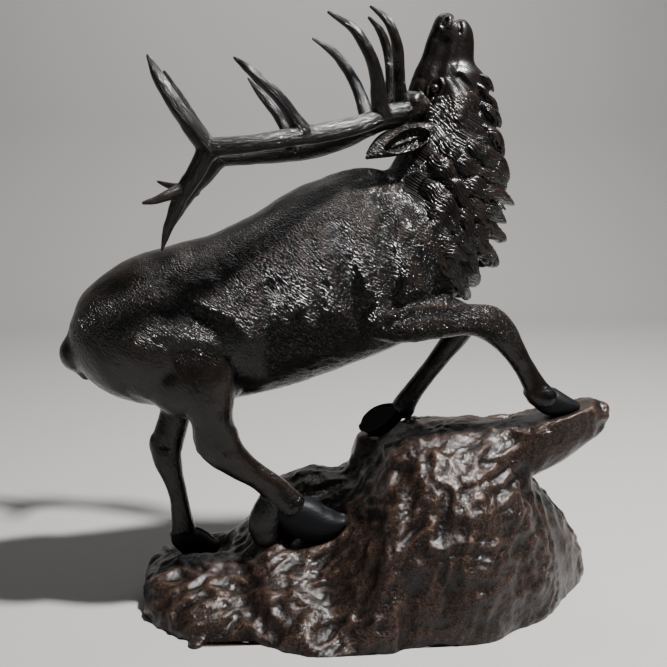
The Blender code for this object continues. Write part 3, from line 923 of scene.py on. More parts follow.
@dataclass(frozen=True)
class BarkPatina(Patina):
    """Patina over antler, grooved along its length and pitted.

    The piece carries the attribute `grain`: how far round, out and along each point lies, in
    centimetres, so that the grooves follow every tine.
    """

    depth: float = 1.4

    # How far apart the grooves are and how long, in mm
    APART, LONG = 5.0, 25.0
    EDGE = (0.32, 0.62)

    def pattern(self, tree: Tree, where: Socket) -> tuple[Socket, Socket]:
        """Draws the grooves.

        Args:
            tree: The material's node tree.
            where: Object coordinates.

        Returns:
            The height that the colour follows, and the height that is cut.
        """
        grain = add_node(tree, "Attribute", attribute_name="grain", attribute_type="GEOMETRY")
        scale = (10 / self.APART, 10 / self.APART, 10 / self.LONG)
        groove = self.drawn_out(tree, grain.outputs["Vector"], scale, Detail=3.0, Roughness=0.6)
        low, high = self.EDGE
        sharp = add_node(tree, "MapRange", {"Value": groove, "From Min": low, "From Max": high},
                         interpolation_type="SMOOTHSTEP").outputs[0]
        return sharp, sharp


@dataclass(frozen=True)
class SmoothPatina(Patina):
    """Patina over plain metal, as on hooves and eyes."""

    depth: float = 0.8

    # Growth rings of the horn to a metre, along X, Y and Z: about 6 mm apart up the hoof
    RINGS = (60.0, 60.0, 170.0)

    def pattern(self, tree: Tree, where: Socket) -> tuple[Socket, Socket]:
        """Draws faint rings."""
        rings = self.drawn_out(tree, where, self.RINGS, Detail=2.0)
        return rings, rings


@dataclass(frozen=True)
class RockPatina(Patina):
    """Patina over the outcrop, mottled umber and near-black under thick lacquer."""

    depth: float = 8.0

    # To a metre: wrinkles about 38 mm apart, flecks about 9 mm across and grit about 4 mm across
    WRINKLES, FLECKS, GRIT = 26.0, 110.0, 250.0
    # How much of the cut relief each of the first two gives
    WRINKLE_CUT, FLECK_CUT = 0.5, 0.34
    # The part of the mottle's range that is used, and how far past the rubbed colour it may go
    MOTTLE, BRIGHTEST = (0.42, 0.58), 1.35

    def pattern(self, tree: Tree, where: Socket) -> tuple[Socket, Socket]:
        """Draws wrinkles, flecks and grit.

        Args:
            tree: The material's node tree.
            where: Object coordinates.

        Returns:
            The height that the colour follows, and the height that is cut.
        """
        wrinkle = add_node(tree, "TexNoise", {"Vector": where, "Scale": self.WRINKLES, "Detail": 4.0,
                                              "Roughness": 0.55, "Distortion": 0.5},
                           noise_type="RIDGED_MULTIFRACTAL").outputs["Fac"]
        fleck = add_node(tree, "TexNoise", {"Vector": where, "Scale": self.FLECKS, "Detail": 3.0,
                                            "Roughness": 0.65, "Distortion": 0.8}).outputs["Fac"]
        grit = add_node(tree, "TexNoise", {"Vector": where, "Scale": self.GRIT, "Detail": 2.0})
        both = add_node(tree, "Mix", {"Factor": 0.5, "A": fleck, "B": grit.outputs["Fac"]},
                        data_type="FLOAT").outputs[0]
        low, high = self.MOTTLE
        tone = add_node(tree, "MapRange", {"Value": both, "From Min": low, "From Max": high,
                                           "To Max": self.BRIGHTEST})
        cut = add_node(tree, "Math", {0: wrinkle, 1: self.WRINKLE_CUT}, operation="MULTIPLY").outputs[0]
        height = add_node(tree, "Math", {0: fleck, 1: self.FLECK_CUT, 2: cut}, operation="MULTIPLY_ADD")
        return tone.outputs[0], height.outputs[0]


# Short hair that glints in small dashes where the light rakes it
HIDE = HidePatina("lacquered patina on chased hide")
# The face's hair is short and flat, so it reads smoother and less glossy than the trunk; its rubbed colour is
# set a little darker than the trunk's, as painted shade on the face.
FACE_HIDE = HidePatina("lacquered patina on the face", worn="#19100b", lacquer=0.22, coat=0.55, depth=1.9)
# Long strands that draw the glints out along each lock, a little warmer than the hide
MANE_HAIR = StrandPatina("lacquered patina on combed mane", worn="#21150f")
# Darker, with grooves that break one long glint into many
ANTLER = BarkPatina("lacquered patina on grooved antler", middle="#0a0605", worn="#19110c", lacquer=0.12)
# Blue-black and nearly matt, so that the hooves stand off the brown legs
HORN = SmoothPatina("blackened patina on hoof horn", recess="#020203", middle="#030406", worn="#06070b",
                    bare="#0b0c10", roughness=0.65, metallic=0.0, lacquer=0.4, coat=0.2)
# Thick clear lacquer, so that each eye holds one sharp glint
EYE = SmoothPatina("dark polished eye", recess="#050302", middle="#0e0906", worn="#1e130d", bare="#241710",
                   lacquer=0.06)
# Lighter and redder than the elk, mottled, with large wet-looking glints on its folds
ROCK = RockPatina("mottled umber patina on rock", recess="#0a0807", middle="#2e211a", worn="#4e3a2f",
                  bare="#5a4638", lacquer=0.13, roughness=0.42, coat=0.75)


def finished(thing: Thing, material: bpy.types.Material, slot: str, *nodes: str) -> Thing:
    """Dresses a piece and sets it on the frame.

    Args:
        thing: The piece.
        material: Its finish.
        slot: Not used.
        nodes: The solids that it stands for.

    Returns:
        The piece.
    """
    thing.data.materials.clear()
    thing.data.materials.append(material)
    activate(thing)
    bpy.ops.object.shade_smooth()
    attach(thing, "root")
    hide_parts(*nodes)
    LOG.info("%s: %d triangles", thing.name, triangles_of(thing))
    return thing


def paint(thing: Thing, name: str, values: Array) -> None:
    """Stores a value for each point, as red, green and blue.

    Args:
        thing: The object.
        name: The attribute's name.
        values: A row of three for each point.
    """
    layer = thing.data.attributes.new(name, "FLOAT_VECTOR", "POINT")
    layer.data.foreach_set("vector", values.astype(np.float32).ravel())


def paint_value(thing: Thing, name: str, values: Array) -> None:
    """Stores one number for each point.

    Args:
        thing: The object.
        name: The attribute's name.
        values: The numbers.
    """
    layer = thing.data.attributes.new(name, "FLOAT", "POINT")
    layer.data.foreach_set("value", values.astype(np.float32))


@dataclass
class Hide:
    """The elk's trunk, neck, head and legs, in three pieces that overlap a little.

    Attributes:
        unit: Metres to a figure unit.
        voxel: The skin's cell, in metres.
        fine_voxel: The cell of the neck and head.
        body_triangles: The most that the trunk and legs keep.
        neck_triangles: The most that the neck and the mane keep.
        head_triangles: The most that the head keeps.
    """

    unit: float
    voxel: float = 0.0042
    fine_voxel: float = 0.0031
    body_triangles: int = 196_000
    neck_triangles: int = 196_000
    head_triangles: int = 120_000

    # Rows of x, y, z, half thickness and half width
    TRUNK = (
        (-96.4, 0, 84.6, 6.5, 7.5), (-93.4, 0, 85.6, 13.0, 13), (-86, 0, 87.8, 19.8, 18.5),
        (-73, 0, 91, 24.8, 21), (-57.7, 0, 94, 26.4, 21), (-42.3, 0, 97.4, 27.4, 22),
        (-27, 0, 103.2, 28.6, 23), (-11, 0, 110.6, 30, 23.5), (3, 0, 115, 28.6, 22),
        (14, 0, 118, 22, 18), (22, 0, 117.5, 13, 12),
    )
    NECK = (
        (23.7, 0, 168, 10.9, 9), (24.1, 0, 160, 12.3, 11), (24.0, 0, 150, 14.9, 13.5),
        (21, 0, 138, 17.6, 15.5), (16.8, 0, 125, 19.8, 17.5), (12.4, 0, 112, 18.4, 18), (10, 0, 104, 15, 16),
    )
    HEAD = (
        (19.5, 0, 154, 9.5, 8.5), (20, 0, 161, 11, 9.2), (20.8, 0, 168, 10.6, 7.4),
        (22, 0, 174.6, 8.8, 5.6), (23, 0, 180.6, 7.2, 4.8), (23.6, 0, 184.4, 6.2, 4.4),
    )
    NOSE = ((17.6, 0, 178, 3.4, 4.2), (19.4, 0, 183.0, 3.8, 4.5), (21.0, 0, 186.8, 3.9, 4.3))
    CHIN = ((26.6, 0, 178, 3.8, 3.8), (26.9, 0, 182.4, 3.4, 3.6), (26.6, 0, 185.4, 2.9, 3.0),
            (26.3, 0, 187.2, 1.9, 2.1))
    TAIL = (
        (-91.4, 0, 101, 4.0, 6.2), (-93.9, 0, 95, 4.5, 5.8), (-95.9, 0, 89, 4.0, 5.0),
        (-97.0, 0, 84.5, 2.9, 4.2), (-96.2, 0, 80, 2.3, 3.4), (-94.6, 0, 76.8, 1.8, 2.6),
    )
    # Haunch, thigh, shoulder blade, upper arm and ribs, of each side
    MUSCLES = (
        ((-71, 9.5, 90), (22, 13, 19), -20), ((-58, 12.5, 81), (15, 10, 17), -60),
        ((4, 10.5, 112), (17, 12.5, 23), -25), ((10, 12, 101), (14, 8, 10), -10),
        ((-30, 9, 101), (24, 13, 20), 15),
    )
    WITHERS = Swelling((-8, 0, 133.8), (17, 8.5, 9), 10)
    # Points of the hocks, backs of the fetlocks and bosses of the antlers, as their place and radii
    KNOBS = (
        ((-56.8, -14.2, 56.8), (2.3, 2.6, 3.0)), ((-74.2, 13, 48.4), (3.2, 3.0, 5.0)),
        ((48.8, -12.2, 71.4), (1.8, 2.6, 1.8)), ((-69.4, 10.6, 16.2), (2.0, 2.6, 1.9)),
        ((8.8, -6.2, 161.6), (6.4, 4.8, 4.8)), ((8.8, 6.2, 161.6), (6.4, 4.8, 4.8)),
    )
    HALF_TRACK = 14.0
    # Creases between muscles: path of x and z, half width, depth, and how far from the middle they start
    CREASES = (
        (((-64, 101), (-58.7, 99.2), (-51.3, 96), (-46.4, 90.6), (-43.6, 84), (-43, 77)), 6.0, 1.6, 0),
        (((-70, 116.2), (-62.6, 107.7), (-57, 100)), 6.5, 0.6, 0),
        (((-84, 108), (-80, 98), (-82, 88), (-78, 79)), 7.0, 0.9, 0),
        (((-38, 86), (-33, 97), (-34, 108)), 8.0, 1.2, 0),
        (((-14.2, 124), (-12.1, 116), (-10, 107.4), (-5.7, 98.8), (0.5, 93.5)), 5.5, 1.7, 0),
        (((-1, 133), (1, 127.5), (-0.2, 122.2), (3.2, 115.5), (2.4, 107), (1.5, 101)), 4.4, 1.5, 0),
        (((1, 127.5), (5, 130), (8, 128)), 3.6, 1.0, 0),
        (((8, 120), (14, 114), (17, 106)), 5.0, 1.3, 0),
        (((-34, 92), (-24, 91.5), (-14, 95)), 6.0, 0.9, 0),
        # Ribs, faintly
        (((-30, 118), (-27, 108), (-27, 97)), 3.4, 0.45, 8),
        (((-23, 121), (-20, 110), (-20, 98)), 3.4, 0.5, 8),
        (((-37, 114), (-35, 104), (-36, 95)), 3.2, 0.4, 8),
        # Strings of the thigh and the hip
        (((-66, 92), (-60, 86), (-54, 78), (-51, 70)), 3.4, 0.8, 6),
        (((-76, 100), (-70, 92), (-66, 82)), 4.0, 0.6, 6),
        (((-58, 118), (-50, 114), (-44, 106)), 4.5, 0.7, 4),
    )
    # Folds of the fore arm, and the hollows before the hocks
    FEATURES = (
        (((3.7, 102.5), (9.9, 104.6), (17.7, 103.6)), 2.3, 0.6, 10),
        (((1, 96.6), (8.4, 99), (17.8, 99.5), (24.8, 98.2)), 2.3, 0.6, 10),
        (((-54.6, 68), (-51.6, 61), (-49.4, 56.4)), 2.8, 0.4, 4),
        (((-71.4, 60), (-70.6, 54), (-71.2, 49)), 2.4, 0.4, 4),
    )
    # The face, as paths of x and z, half width, depth and how far from the middle each starts
    FACE = (
        # Mouth, deepest in front, with the rims of the lips and the knob at its corner
        (((24.4, 188.0), (24.8, 186.2), (24.8, 184.2)), 0.9, 0.6, 0.5),
        (((24.8, 184.0), (24.4, 180.6), (23.6, 177), (23.2, 173.8)), 1.0, 0.2, 1.5),
        (((26.2, 187.4), (26.8, 185.2), (26.6, 182.4)), 1.4, -0.2, 0.5),
        (((23.1, 172.2), (23.2, 173.2)), 1.7, -0.25, 2),
        # Nostril, with its wing and its rim
        (((20.5, 187.8), (20.0, 186.9), (19.4, 186.0)), 0.75, 0.8, 1.5),
        (((18.8, 188.4), (18.1, 187.0), (18.2, 185.4), (19.0, 184.4)), 0.9, -0.2, 1.5),
        (((21.6, 188.2), (21.6, 186.8), (21.0, 185.4)), 0.8, -0.2, 1.5),
        # Edge of the nose's bridge and the hollow under it
        (((12.6, 171.6), (14.8, 176.5), (16.6, 181)), 1.7, -0.4, 3),
        (((17.6, 171.8), (19.2, 176.5), (20.2, 180.6)), 2.3, 0.5, 3),
        # Eye socket, lids and brow
        (((17.0, 168.2), (16.7, 167.0), (16.2, 165.8)), 1.5, 0.25, 4),
        (((18.2, 169.9), (16.2, 169.3), (14.8, 167.6), (14.3, 165.0)), 0.9, -0.6, 4),
        (((18.4, 169.6), (18.9, 167.6), (18.2, 165.4), (16.6, 163.4)), 0.9, -0.6, 4),
        (((12.2, 168.8), (11.2, 166.0), (10.4, 163.6)), 2.3, -0.6, 3),
        # Cheekbone, jaw muscle and the crease before it
        (((19.8, 169.0), (22.2, 164), (23.4, 158.5)), 2.2, -0.45, 4),
        (((24.2, 159), (25.4, 163)), 6.0, -0.8, 5),
        (((24.0, 170.5), (27.6, 166.5), (30.0, 160.5)), 1.8, 0.6, 3),
        (((14.2, 155.2), (8, 152.3), (1.5, 149.2)), 2.6, 1.5, 8.8),
    )
    # The cleft between nose and chin, over the top of the muzzle
    CLEFT = (((24.1, -3.2, 187.9), (24.2, 0, 189.3), (24.1, 3.2, 187.9)), 1.3, 1.5)
    # The planes where the pieces meet: a point on each, and its normal towards the head, in x and z
    NECK_CUT = ((-8.0, 146.0), (0.621, 0.784))
    HEAD_CUT = ((20.0, 164.0), (-0.17, 0.985))
    OVERLAP = 1.0
    # The one lock's tip whose patina is rubbed through, and how far
    RUBBED = ((40.6, -3.4, 120.4), 2.6)
    # Where the patina turns black, at each hoof: x, y, z and how far it reaches. The second entry blackens
    # the lobe behind the near hind fetlock as a painted shadow of the fetlock on the rock.
    BLACKENED = (
        (-27, -10.5, 26, 13), (-37, -10.2, 27, 11), (-62, 10.5, 10, 11), (59, -12, 67, 9.5),
        (4, 14, 55.5, 12),
    )
    # The dents of the modelling: height, size and field of each kind
    DENTS = ((0.25, 8.0, 3), (0.14, 3.8, 4))
    # Where the hair turns to lie as on a leg: heights of the hind leg, the shanks and the fore leg,
    # and how far along x the thigh and the fore arm reach
    HIND_Z, SHANK_Z, FORE_Z, HIND_X, FORE_X = (74, 100), (50, 58), (84, 92), (-40, -34), (-6, 2)
    # How far before the neck's cut its hair starts to lie as on the neck
    NECK_HAIR = (-30, 0)
    # The face is smooth above a height that rises by FACE_TILT for each unit before FACE_X: where its
    # strokes flatten, where its tufts do, and how smooth it gets
    FACE_TILT, FACE_X, FACE_STROKES, FACE_TUFTS, FACE_SMOOTH = 0.5, 20, (152, 166), (152, 164), 0.95
    # A tuft's length, width, height and first field
    TUFT_LONG, TUFT_WIDE, TUFT_HIGH, TUFT_SEED = 3.6, 1.15, 0.11, 11
    # The ridges of the strands in the mane: how far apart and how high
    RIDGE_APART, RIDGE_HIGH = 1.05, 0.085

    def legs(self) -> list[Limb]:
        """The four legs down to the fetlock.

        Returns:
            The limbs: near hind, the black lobe behind its fetlock that stands for the fetlock's shadow on
                the rock (a painted shadow), far hind, near fore and far fore.
        """
        y = self.HALF_TRACK
        near_hind = (
            (-62, -y + 4.5, 97, 13, 8.5), (-58.6, -y + 2, 88, 13.2, 9), (-56.4, -y - 0.2, 80, 12.2, 8.8),
            (-54.5, -y - 1, 72, 8.6, 7.4), (-53.4, -y - 0.5, 65, 6.6, 5.6),
            (-52.6, -y - 0.2, 60, 7.2, 4.9), (-50.5, -y, 55.4, 6.6, 4.4), (-45.5, -y + 1, 50.2, 4.9, 3.8),
            (-39.5, -y + 1.8, 45.3, 4.2, 3.5), (-33.5, -y + 2.6, 39.8, 4.5, 3.7),
            (-28.4, -y + 2.4, 34.4, 4.9, 4.2),
        )
        # A lobe behind the near hind fetlock, made black where the fetlock's shadow falls on the rock: a
        # painted shadow.
        shadow_heel = (
            (-34.2, -y + 3.5, 36.6, 5.0, 3.8), (-37.0, -y + 3.8, 29, 5.9, 4.6),
            (-36.8, -y + 4, 23.8, 5.0, 4.4),
        )
        far_hind = (
            (-66, y - 3, 80, 11, 8), (-66.8, y - 1, 68, 7.6, 6.2), (-67.8, y - 0.6, 59.2, 5.4, 4.8),
            (-70.8, y - 1, 49, 5.8, 4.2), (-71.2, y - 1.4, 44.5, 5.2, 4.0), (-69.4, y - 2, 36.8, 3.8, 3.3),
            (-67.6, y - 2.6, 29.6, 3.2, 3.1), (-66.8, y - 3, 22.9, 3.7, 3.5),
            (-66.2, y - 3.4, 17.5, 4.6, 4.0),
        )
        near_fore = (
            (-2, -y + 0.5, 100, 10, 8), (9, -y - 0.5, 98, 8.8, 7.2), (18, -y, 97, 6.8, 5.8),
            (27, -y + 0.5, 96.2, 4.9, 4.6), (34.8, -y + 1, 94.8, 5.6, 4.7), (39.6, -y + 1.2, 90.6, 5.0, 4.2),
            (43.8, -y + 1.4, 84.6, 3.8, 3.4), (47.8, -y + 1.6, 78.8, 3.4, 3.2),
            (50.6, -y + 1.8, 74, 3.8, 3.7), (52, -y + 1.4, 71.4, 4.4, 4.1),
            (54.4, -y + 0.6, 69.9, 3.9, 4.1),
        )
        far_fore = (
            (4, y - 2, 100, 10, 8), (14, y, 97, 8, 7), (24, y, 94.6, 6.2, 5.6), (32.6, y, 91, 5.0, 4.7),
            (31, y, 86, 4.4, 4.2), (25.4, y, 78.4, 3.5, 3.2), (19.4, y, 70.4, 3.2, 3.0),
            (14, y, 63, 3.6, 3.4), (12, y, 59.4, 4.2, 4.0),
        )
        return [Limb(rows, 20, 4, square=0.9) for rows in (near_hind, shadow_heel, far_hind, near_fore, far_fore)]

    def trunk(self) -> Thing:
        """Models the trunk, neck and head, softens them and sinks the creases between the muscles.

        Returns:
            The soft body, without its legs.
        """
        parts = [
            Limb(self.TRUNK, 32).build("trunk", self.unit),
            Limb(self.NECK, 32).build("neck", self.unit),
            Limb(self.HEAD, 28).build("head", self.unit),
            Limb(self.NOSE, 20).build("nose", self.unit),
            Limb(self.CHIN, 20).build("chin", self.unit),
            Limb(self.TAIL, 16).build("tail", self.unit),
            self.WITHERS.build("withers", self.unit),
        ]
        for side in Side:
            for (x, y, z), radii, turn in self.MUSCLES:
                parts.append(Swelling((x, y * side.value, z), radii, turn).build("muscle", self.unit))
        body = fused(parts, "soft body", self.voxel * 2, 14)
        relief = Relief(body, self.unit)
        for path, width, depth, beyond in self.CREASES:
            relief.press(path, width, depth, beyond)
        relief.write()
        return body

    def skin(self) -> Thing:
        """Fuses the body and the legs, and works the folds and tendons.

        Returns:
            The whole hide, without its hair.
        """
        parts = [self.trunk()] + [limb.build("leg", self.unit) for limb in self.legs()]
        parts += [Swelling(place, radii).build("knob", self.unit) for place, radii in self.KNOBS]
        whole = fused(parts, "hide", self.voxel, 4)
        relief = Relief(whole, self.unit)
        for path, width, depth, beyond in self.FEATURES:
            relief.press(path, width, depth, beyond)
        units = relief.points / self.unit
        relief.raise_by(sum(high * cloud(units, size, seed) for high, size, seed in self.DENTS))
        relief.write()
        return whole

    def up_face(self, units: Array) -> Array:
        """How high each point lies up the face, which is thrown back."""
        return units[:, 2] - self.FACE_TILT * (units[:, 0] - self.FACE_X)

    def flow(self, units: Array) -> tuple[Array, Array]:
        """How much the hair of each point lies as on a leg, and as on the neck.

        Args:
            units: The points, in figure units.

        Returns:
            The leg's share and the neck's share.
        """
        x, z = units[:, 0], units[:, 2]
        thigh = (1 - eased(z, *self.HIND_Z)) * (1 - eased(x, *self.HIND_X))
        hind = np.maximum(thigh, 1 - eased(z, *self.SHANK_Z))
        fore = (1 - eased(z, *self.FORE_Z)) * eased(x, *self.FORE_X)
        (px, pz), (nx, nz) = self.NECK_CUT
        neck = eased((x - px) * nx + (z - pz) * nz, *self.NECK_HAIR)
        # The face is as smooth as the legs.
        face = self.FACE_SMOOTH * eased(self.up_face(units), *self.FACE_STROKES)
        return np.maximum(np.maximum(hind, fore), face), neck

    def tufts(self, units: Array) -> Array:
        """The height of the tufts of hair, from -1 to 1.

        Args:
            units: The points, in figure units.

        Returns:
            One value for each point.
        """
        legs, neck = self.flow(units)
        trunk, leg, throat = [
            strands(units, lie, self.TUFT_LONG, self.TUFT_WIDE, self.TUFT_SEED + number)
            for number, lie in enumerate(HidePatina.LIES)
        ]
        mixed = trunk + (leg - trunk) * legs
        return mixed + (throat - mixed) * neck

    def blackness(self, units: Array) -> Array:
        """How black the patina is at each point, from the hooves up.

        Args:
            units: The points, in figure units.

        Returns:
            0 for brown to 1 for black, one value for each point.
        """
        black = np.zeros(len(units))
        for x, y, z, reach in self.BLACKENED:
            away = np.linalg.norm(units - np.array([x, y, z]), axis=1)
            black = np.maximum(black, 1 - eased(away, reach * 0.8, reach * 1.15))
        return black

    def cut(self, thing: Thing, plane: tuple, keep: int) -> Thing:
        """Cuts a skin flat and closes it.

        Args:
            thing: The skin.
            plane: A point on the plane and its normal towards the head, in x and z.
            keep: 1 keeps the head's side, -1 the other.

        Returns:
            The same object.
        """
        (px, pz), (nx, nz) = plane
        off = -self.OVERLAP * keep
        place = ((px + nx * off) * self.unit, 0, (pz + nz * off) * self.unit)
        return sliced(thing, place, (-nx * keep, 0, -nz * keep))

    def painted(self, thing: Thing, most: int) -> Thing:
        """Thins a piece of hide and stores what its finish reads.

        Args:
            thing: The piece.
            most: The triangles that it may keep.

        Returns:
            The piece.
        """
        largest_only(thing)
        thinned(thing, most)
        relief = Relief(thing, self.unit)
        units = relief.points / self.unit
        black = self.blackness(units)
        paint(thing, "flow", np.stack([*self.flow(units), 1 - black], axis=1))
        paint_value(thing, "cavity", relief.cavity(10, 0.22) * 0.9 * (1 - 0.9 * black))
        return thing

    def body(self, whole: Thing) -> Thing:
        """Finishes the trunk and legs, with their tufts of hair.

        Args:
            whole: The whole hide, which is used up.

        Returns:
            The trunk and legs.
        """
        body = self.cut(whole, self.NECK_CUT, -1)
        body.name = "hide_body"
        relief = Relief(body, self.unit)
        units = relief.points / self.unit
        relief.raise_by(self.TUFT_HIGH * self.tufts(units) * (1 - 0.6 * self.flow(units)[0]))
        relief.write()
        return self.painted(body, self.body_triangles)

    def upper(self, whole: Thing, mane: Mane) -> list[Thing]:
        """Fuses the mane with the neck, and works the face and the strands.

        Args:
            whole: The whole hide, which is left as it is.
            mane: The mane.

        Returns:
            The neck with the mane, and the head.
        """
        base = self.cut(copied(whole, "neck base"), self.NECK_CUT, 1)
        skin = fused([base] + mane.grown(), "upper", self.fine_voxel, 2)
        relief = Relief(skin, self.unit)
        for path, width, depth, beyond in self.FACE:
            relief.press(path, width, depth, beyond)
        relief.groove(*self.CLEFT)
        relief.write()
        units = relief.points / self.unit
        comb, share = mane.comb(units)
        ridges = np.cos(2 * math.pi * comb[:, 0] / self.RIDGE_APART + 1.5 * cloud(units, 3.0, 61))
        face = eased(self.up_face(units), *self.FACE_TUFTS)
        tufts = self.TUFT_HIGH * self.tufts(units) * (1 - share) * (1 - 0.8 * face)
        relief.raise_by(self.RIDGE_HIGH * ridges * share * (1 - 0.85 * face) + tufts)
        relief.write()
        neck = self.cut(copied(skin, "neck_and_mane"), self.HEAD_CUT, -1)
        head = self.cut(skin, self.HEAD_CUT, 1)
        head.name = "head"
        largest_only(neck)
        thinned(neck, self.neck_triangles)
        relief = Relief(neck, self.unit)
        paint(neck, "comb", mane.comb(relief.points / self.unit)[0])
        units = relief.points / self.unit
        spot, reach = self.RUBBED
        rubbed = 1 - eased(np.linalg.norm(units - np.array(spot), axis=1), reach * 0.7, reach)
        paint_value(neck, "cavity", np.maximum(relief.cavity(14, 0.3) * 0.9, 1.6 * rubbed))
        return [neck, self.painted(head, self.head_triangles)]


@dataclass(frozen=True)
class Neck:
    """The neck's middle line, to tell which way is off its skin.

    Attributes:
        rows: The neck's stations, in figure units.
    """

    rows: Sequence[Row] = Hide.NECK

    def out(self, points: Array) -> Array:
        """The way off the skin at points near it.

        Args:
            points: The points, in figure units.

        Returns:
            A unit row for each point.
        """
        line = through(self.rows, 12)[:, :3]
        nearest = np.argmin(np.linalg.norm(points[:, None] - line[None], axis=2), axis=1)
        return unit_rows(points - line[nearest])


class Tip(Enum):
    """How a lock ends: its width from root to tip, as shares of its full width."""

    POINTED = ((0.0, 0.62), (0.25, 0.95), (0.5, 1.0), (0.74, 0.7), (0.9, 0.34), (1.0, 0.08))
    BLUNT = ((0.0, 0.62), (0.25, 0.9), (0.6, 1.0), (0.85, 0.82), (0.95, 0.52), (1.0, 0.2))


POINTED, BLUNT = Tip.POINTED, Tip.BLUNT


@dataclass
class Lock:
    """One lock of the mane: a leaf of hair along a curved spine.

    Attributes:
        line: The spine's points, in figure units.
        out: The way off the skin at each of them.
        wide: Half its width.
        thick: Half its thickness.
        tip: How it ends.
    """

    line: Array
    out: Array
    wide: float
    thick: float
    tip: Tip

    def tapers(self) -> Array:
        """The share of the full width at each point of the spine."""
        places, shares = zip(*self.tip.value)
        return np.interp(np.linspace(0, 1, len(self.line)), places, shares)

    def frames(self) -> tuple[Array, Array, Array]:
        """Works out how the lock lies.

        Returns:
            The ways along, aside and out at each point of the spine.
        """
        along = unit_rows(np.gradient(self.line, axis=0))
        aside = unit_rows(np.cross(along, self.out))
        return along, aside, np.cross(aside, along)

    def bend(self, flat: Array) -> Array:
        """Lays the straight lock's points along this one.

        Args:
            flat: Points of aside, out and share of the length.

        Returns:
            The points in figure units.
        """
        _, aside, out = self.frames()
        knots = np.linspace(0, 1, len(self.line))
        taper = np.interp(flat[:, 2], knots, self.tapers())

        def read(rows: Array) -> Array:
            """Reads rows at each point's share of the length."""
            return np.stack([np.interp(flat[:, 2], knots, rows[:, k]) for k in range(3)], axis=1)

        return (read(self.line) + read(aside) * (flat[:, 0] * self.wide * taper)[:, None]
                + read(out) * (flat[:, 1] * self.thick * np.sqrt(taper))[:, None])

    def comb(self, points: Array) -> tuple[Array, Array, Array]:
        """Where points lie along and across the lock.

        Args:
            points: Points in figure units.

        Returns:
            How far out each lies against the lock's size, then how far across and along.
        """
        _, aside, out = self.frames()
        tapers = self.tapers()
        length = np.concatenate([[0], np.cumsum(np.linalg.norm(np.diff(self.line, axis=0), axis=1))])
        best = np.full(len(points), FAR_OFF)
        reach, across, down = np.full((3, len(points)), FAR_OFF)
        for i in range(len(self.line) - 1):
            run = self.line[i + 1] - self.line[i]
            t = np.clip((points - self.line[i]) @ run / (run @ run), 0, 1)
            off = points - self.line[i] - t[:, None] * run
            away = np.einsum("ij,ij->i", off, off)
            closer = away < best
            best[closer] = away[closer]
            taper = tapers[i] + t * (tapers[i + 1] - tapers[i])
            a, o = off @ aside[i], off @ out[i]
            size = np.hypot(a / (self.wide * taper), o / (self.thick * np.sqrt(taper)))
            reach[closer] = size[closer]
            across[closer] = (a / np.sqrt(taper))[closer]
            down[closer] = (length[i] + t * (length[i + 1] - length[i]))[closer]
        return reach, across, down


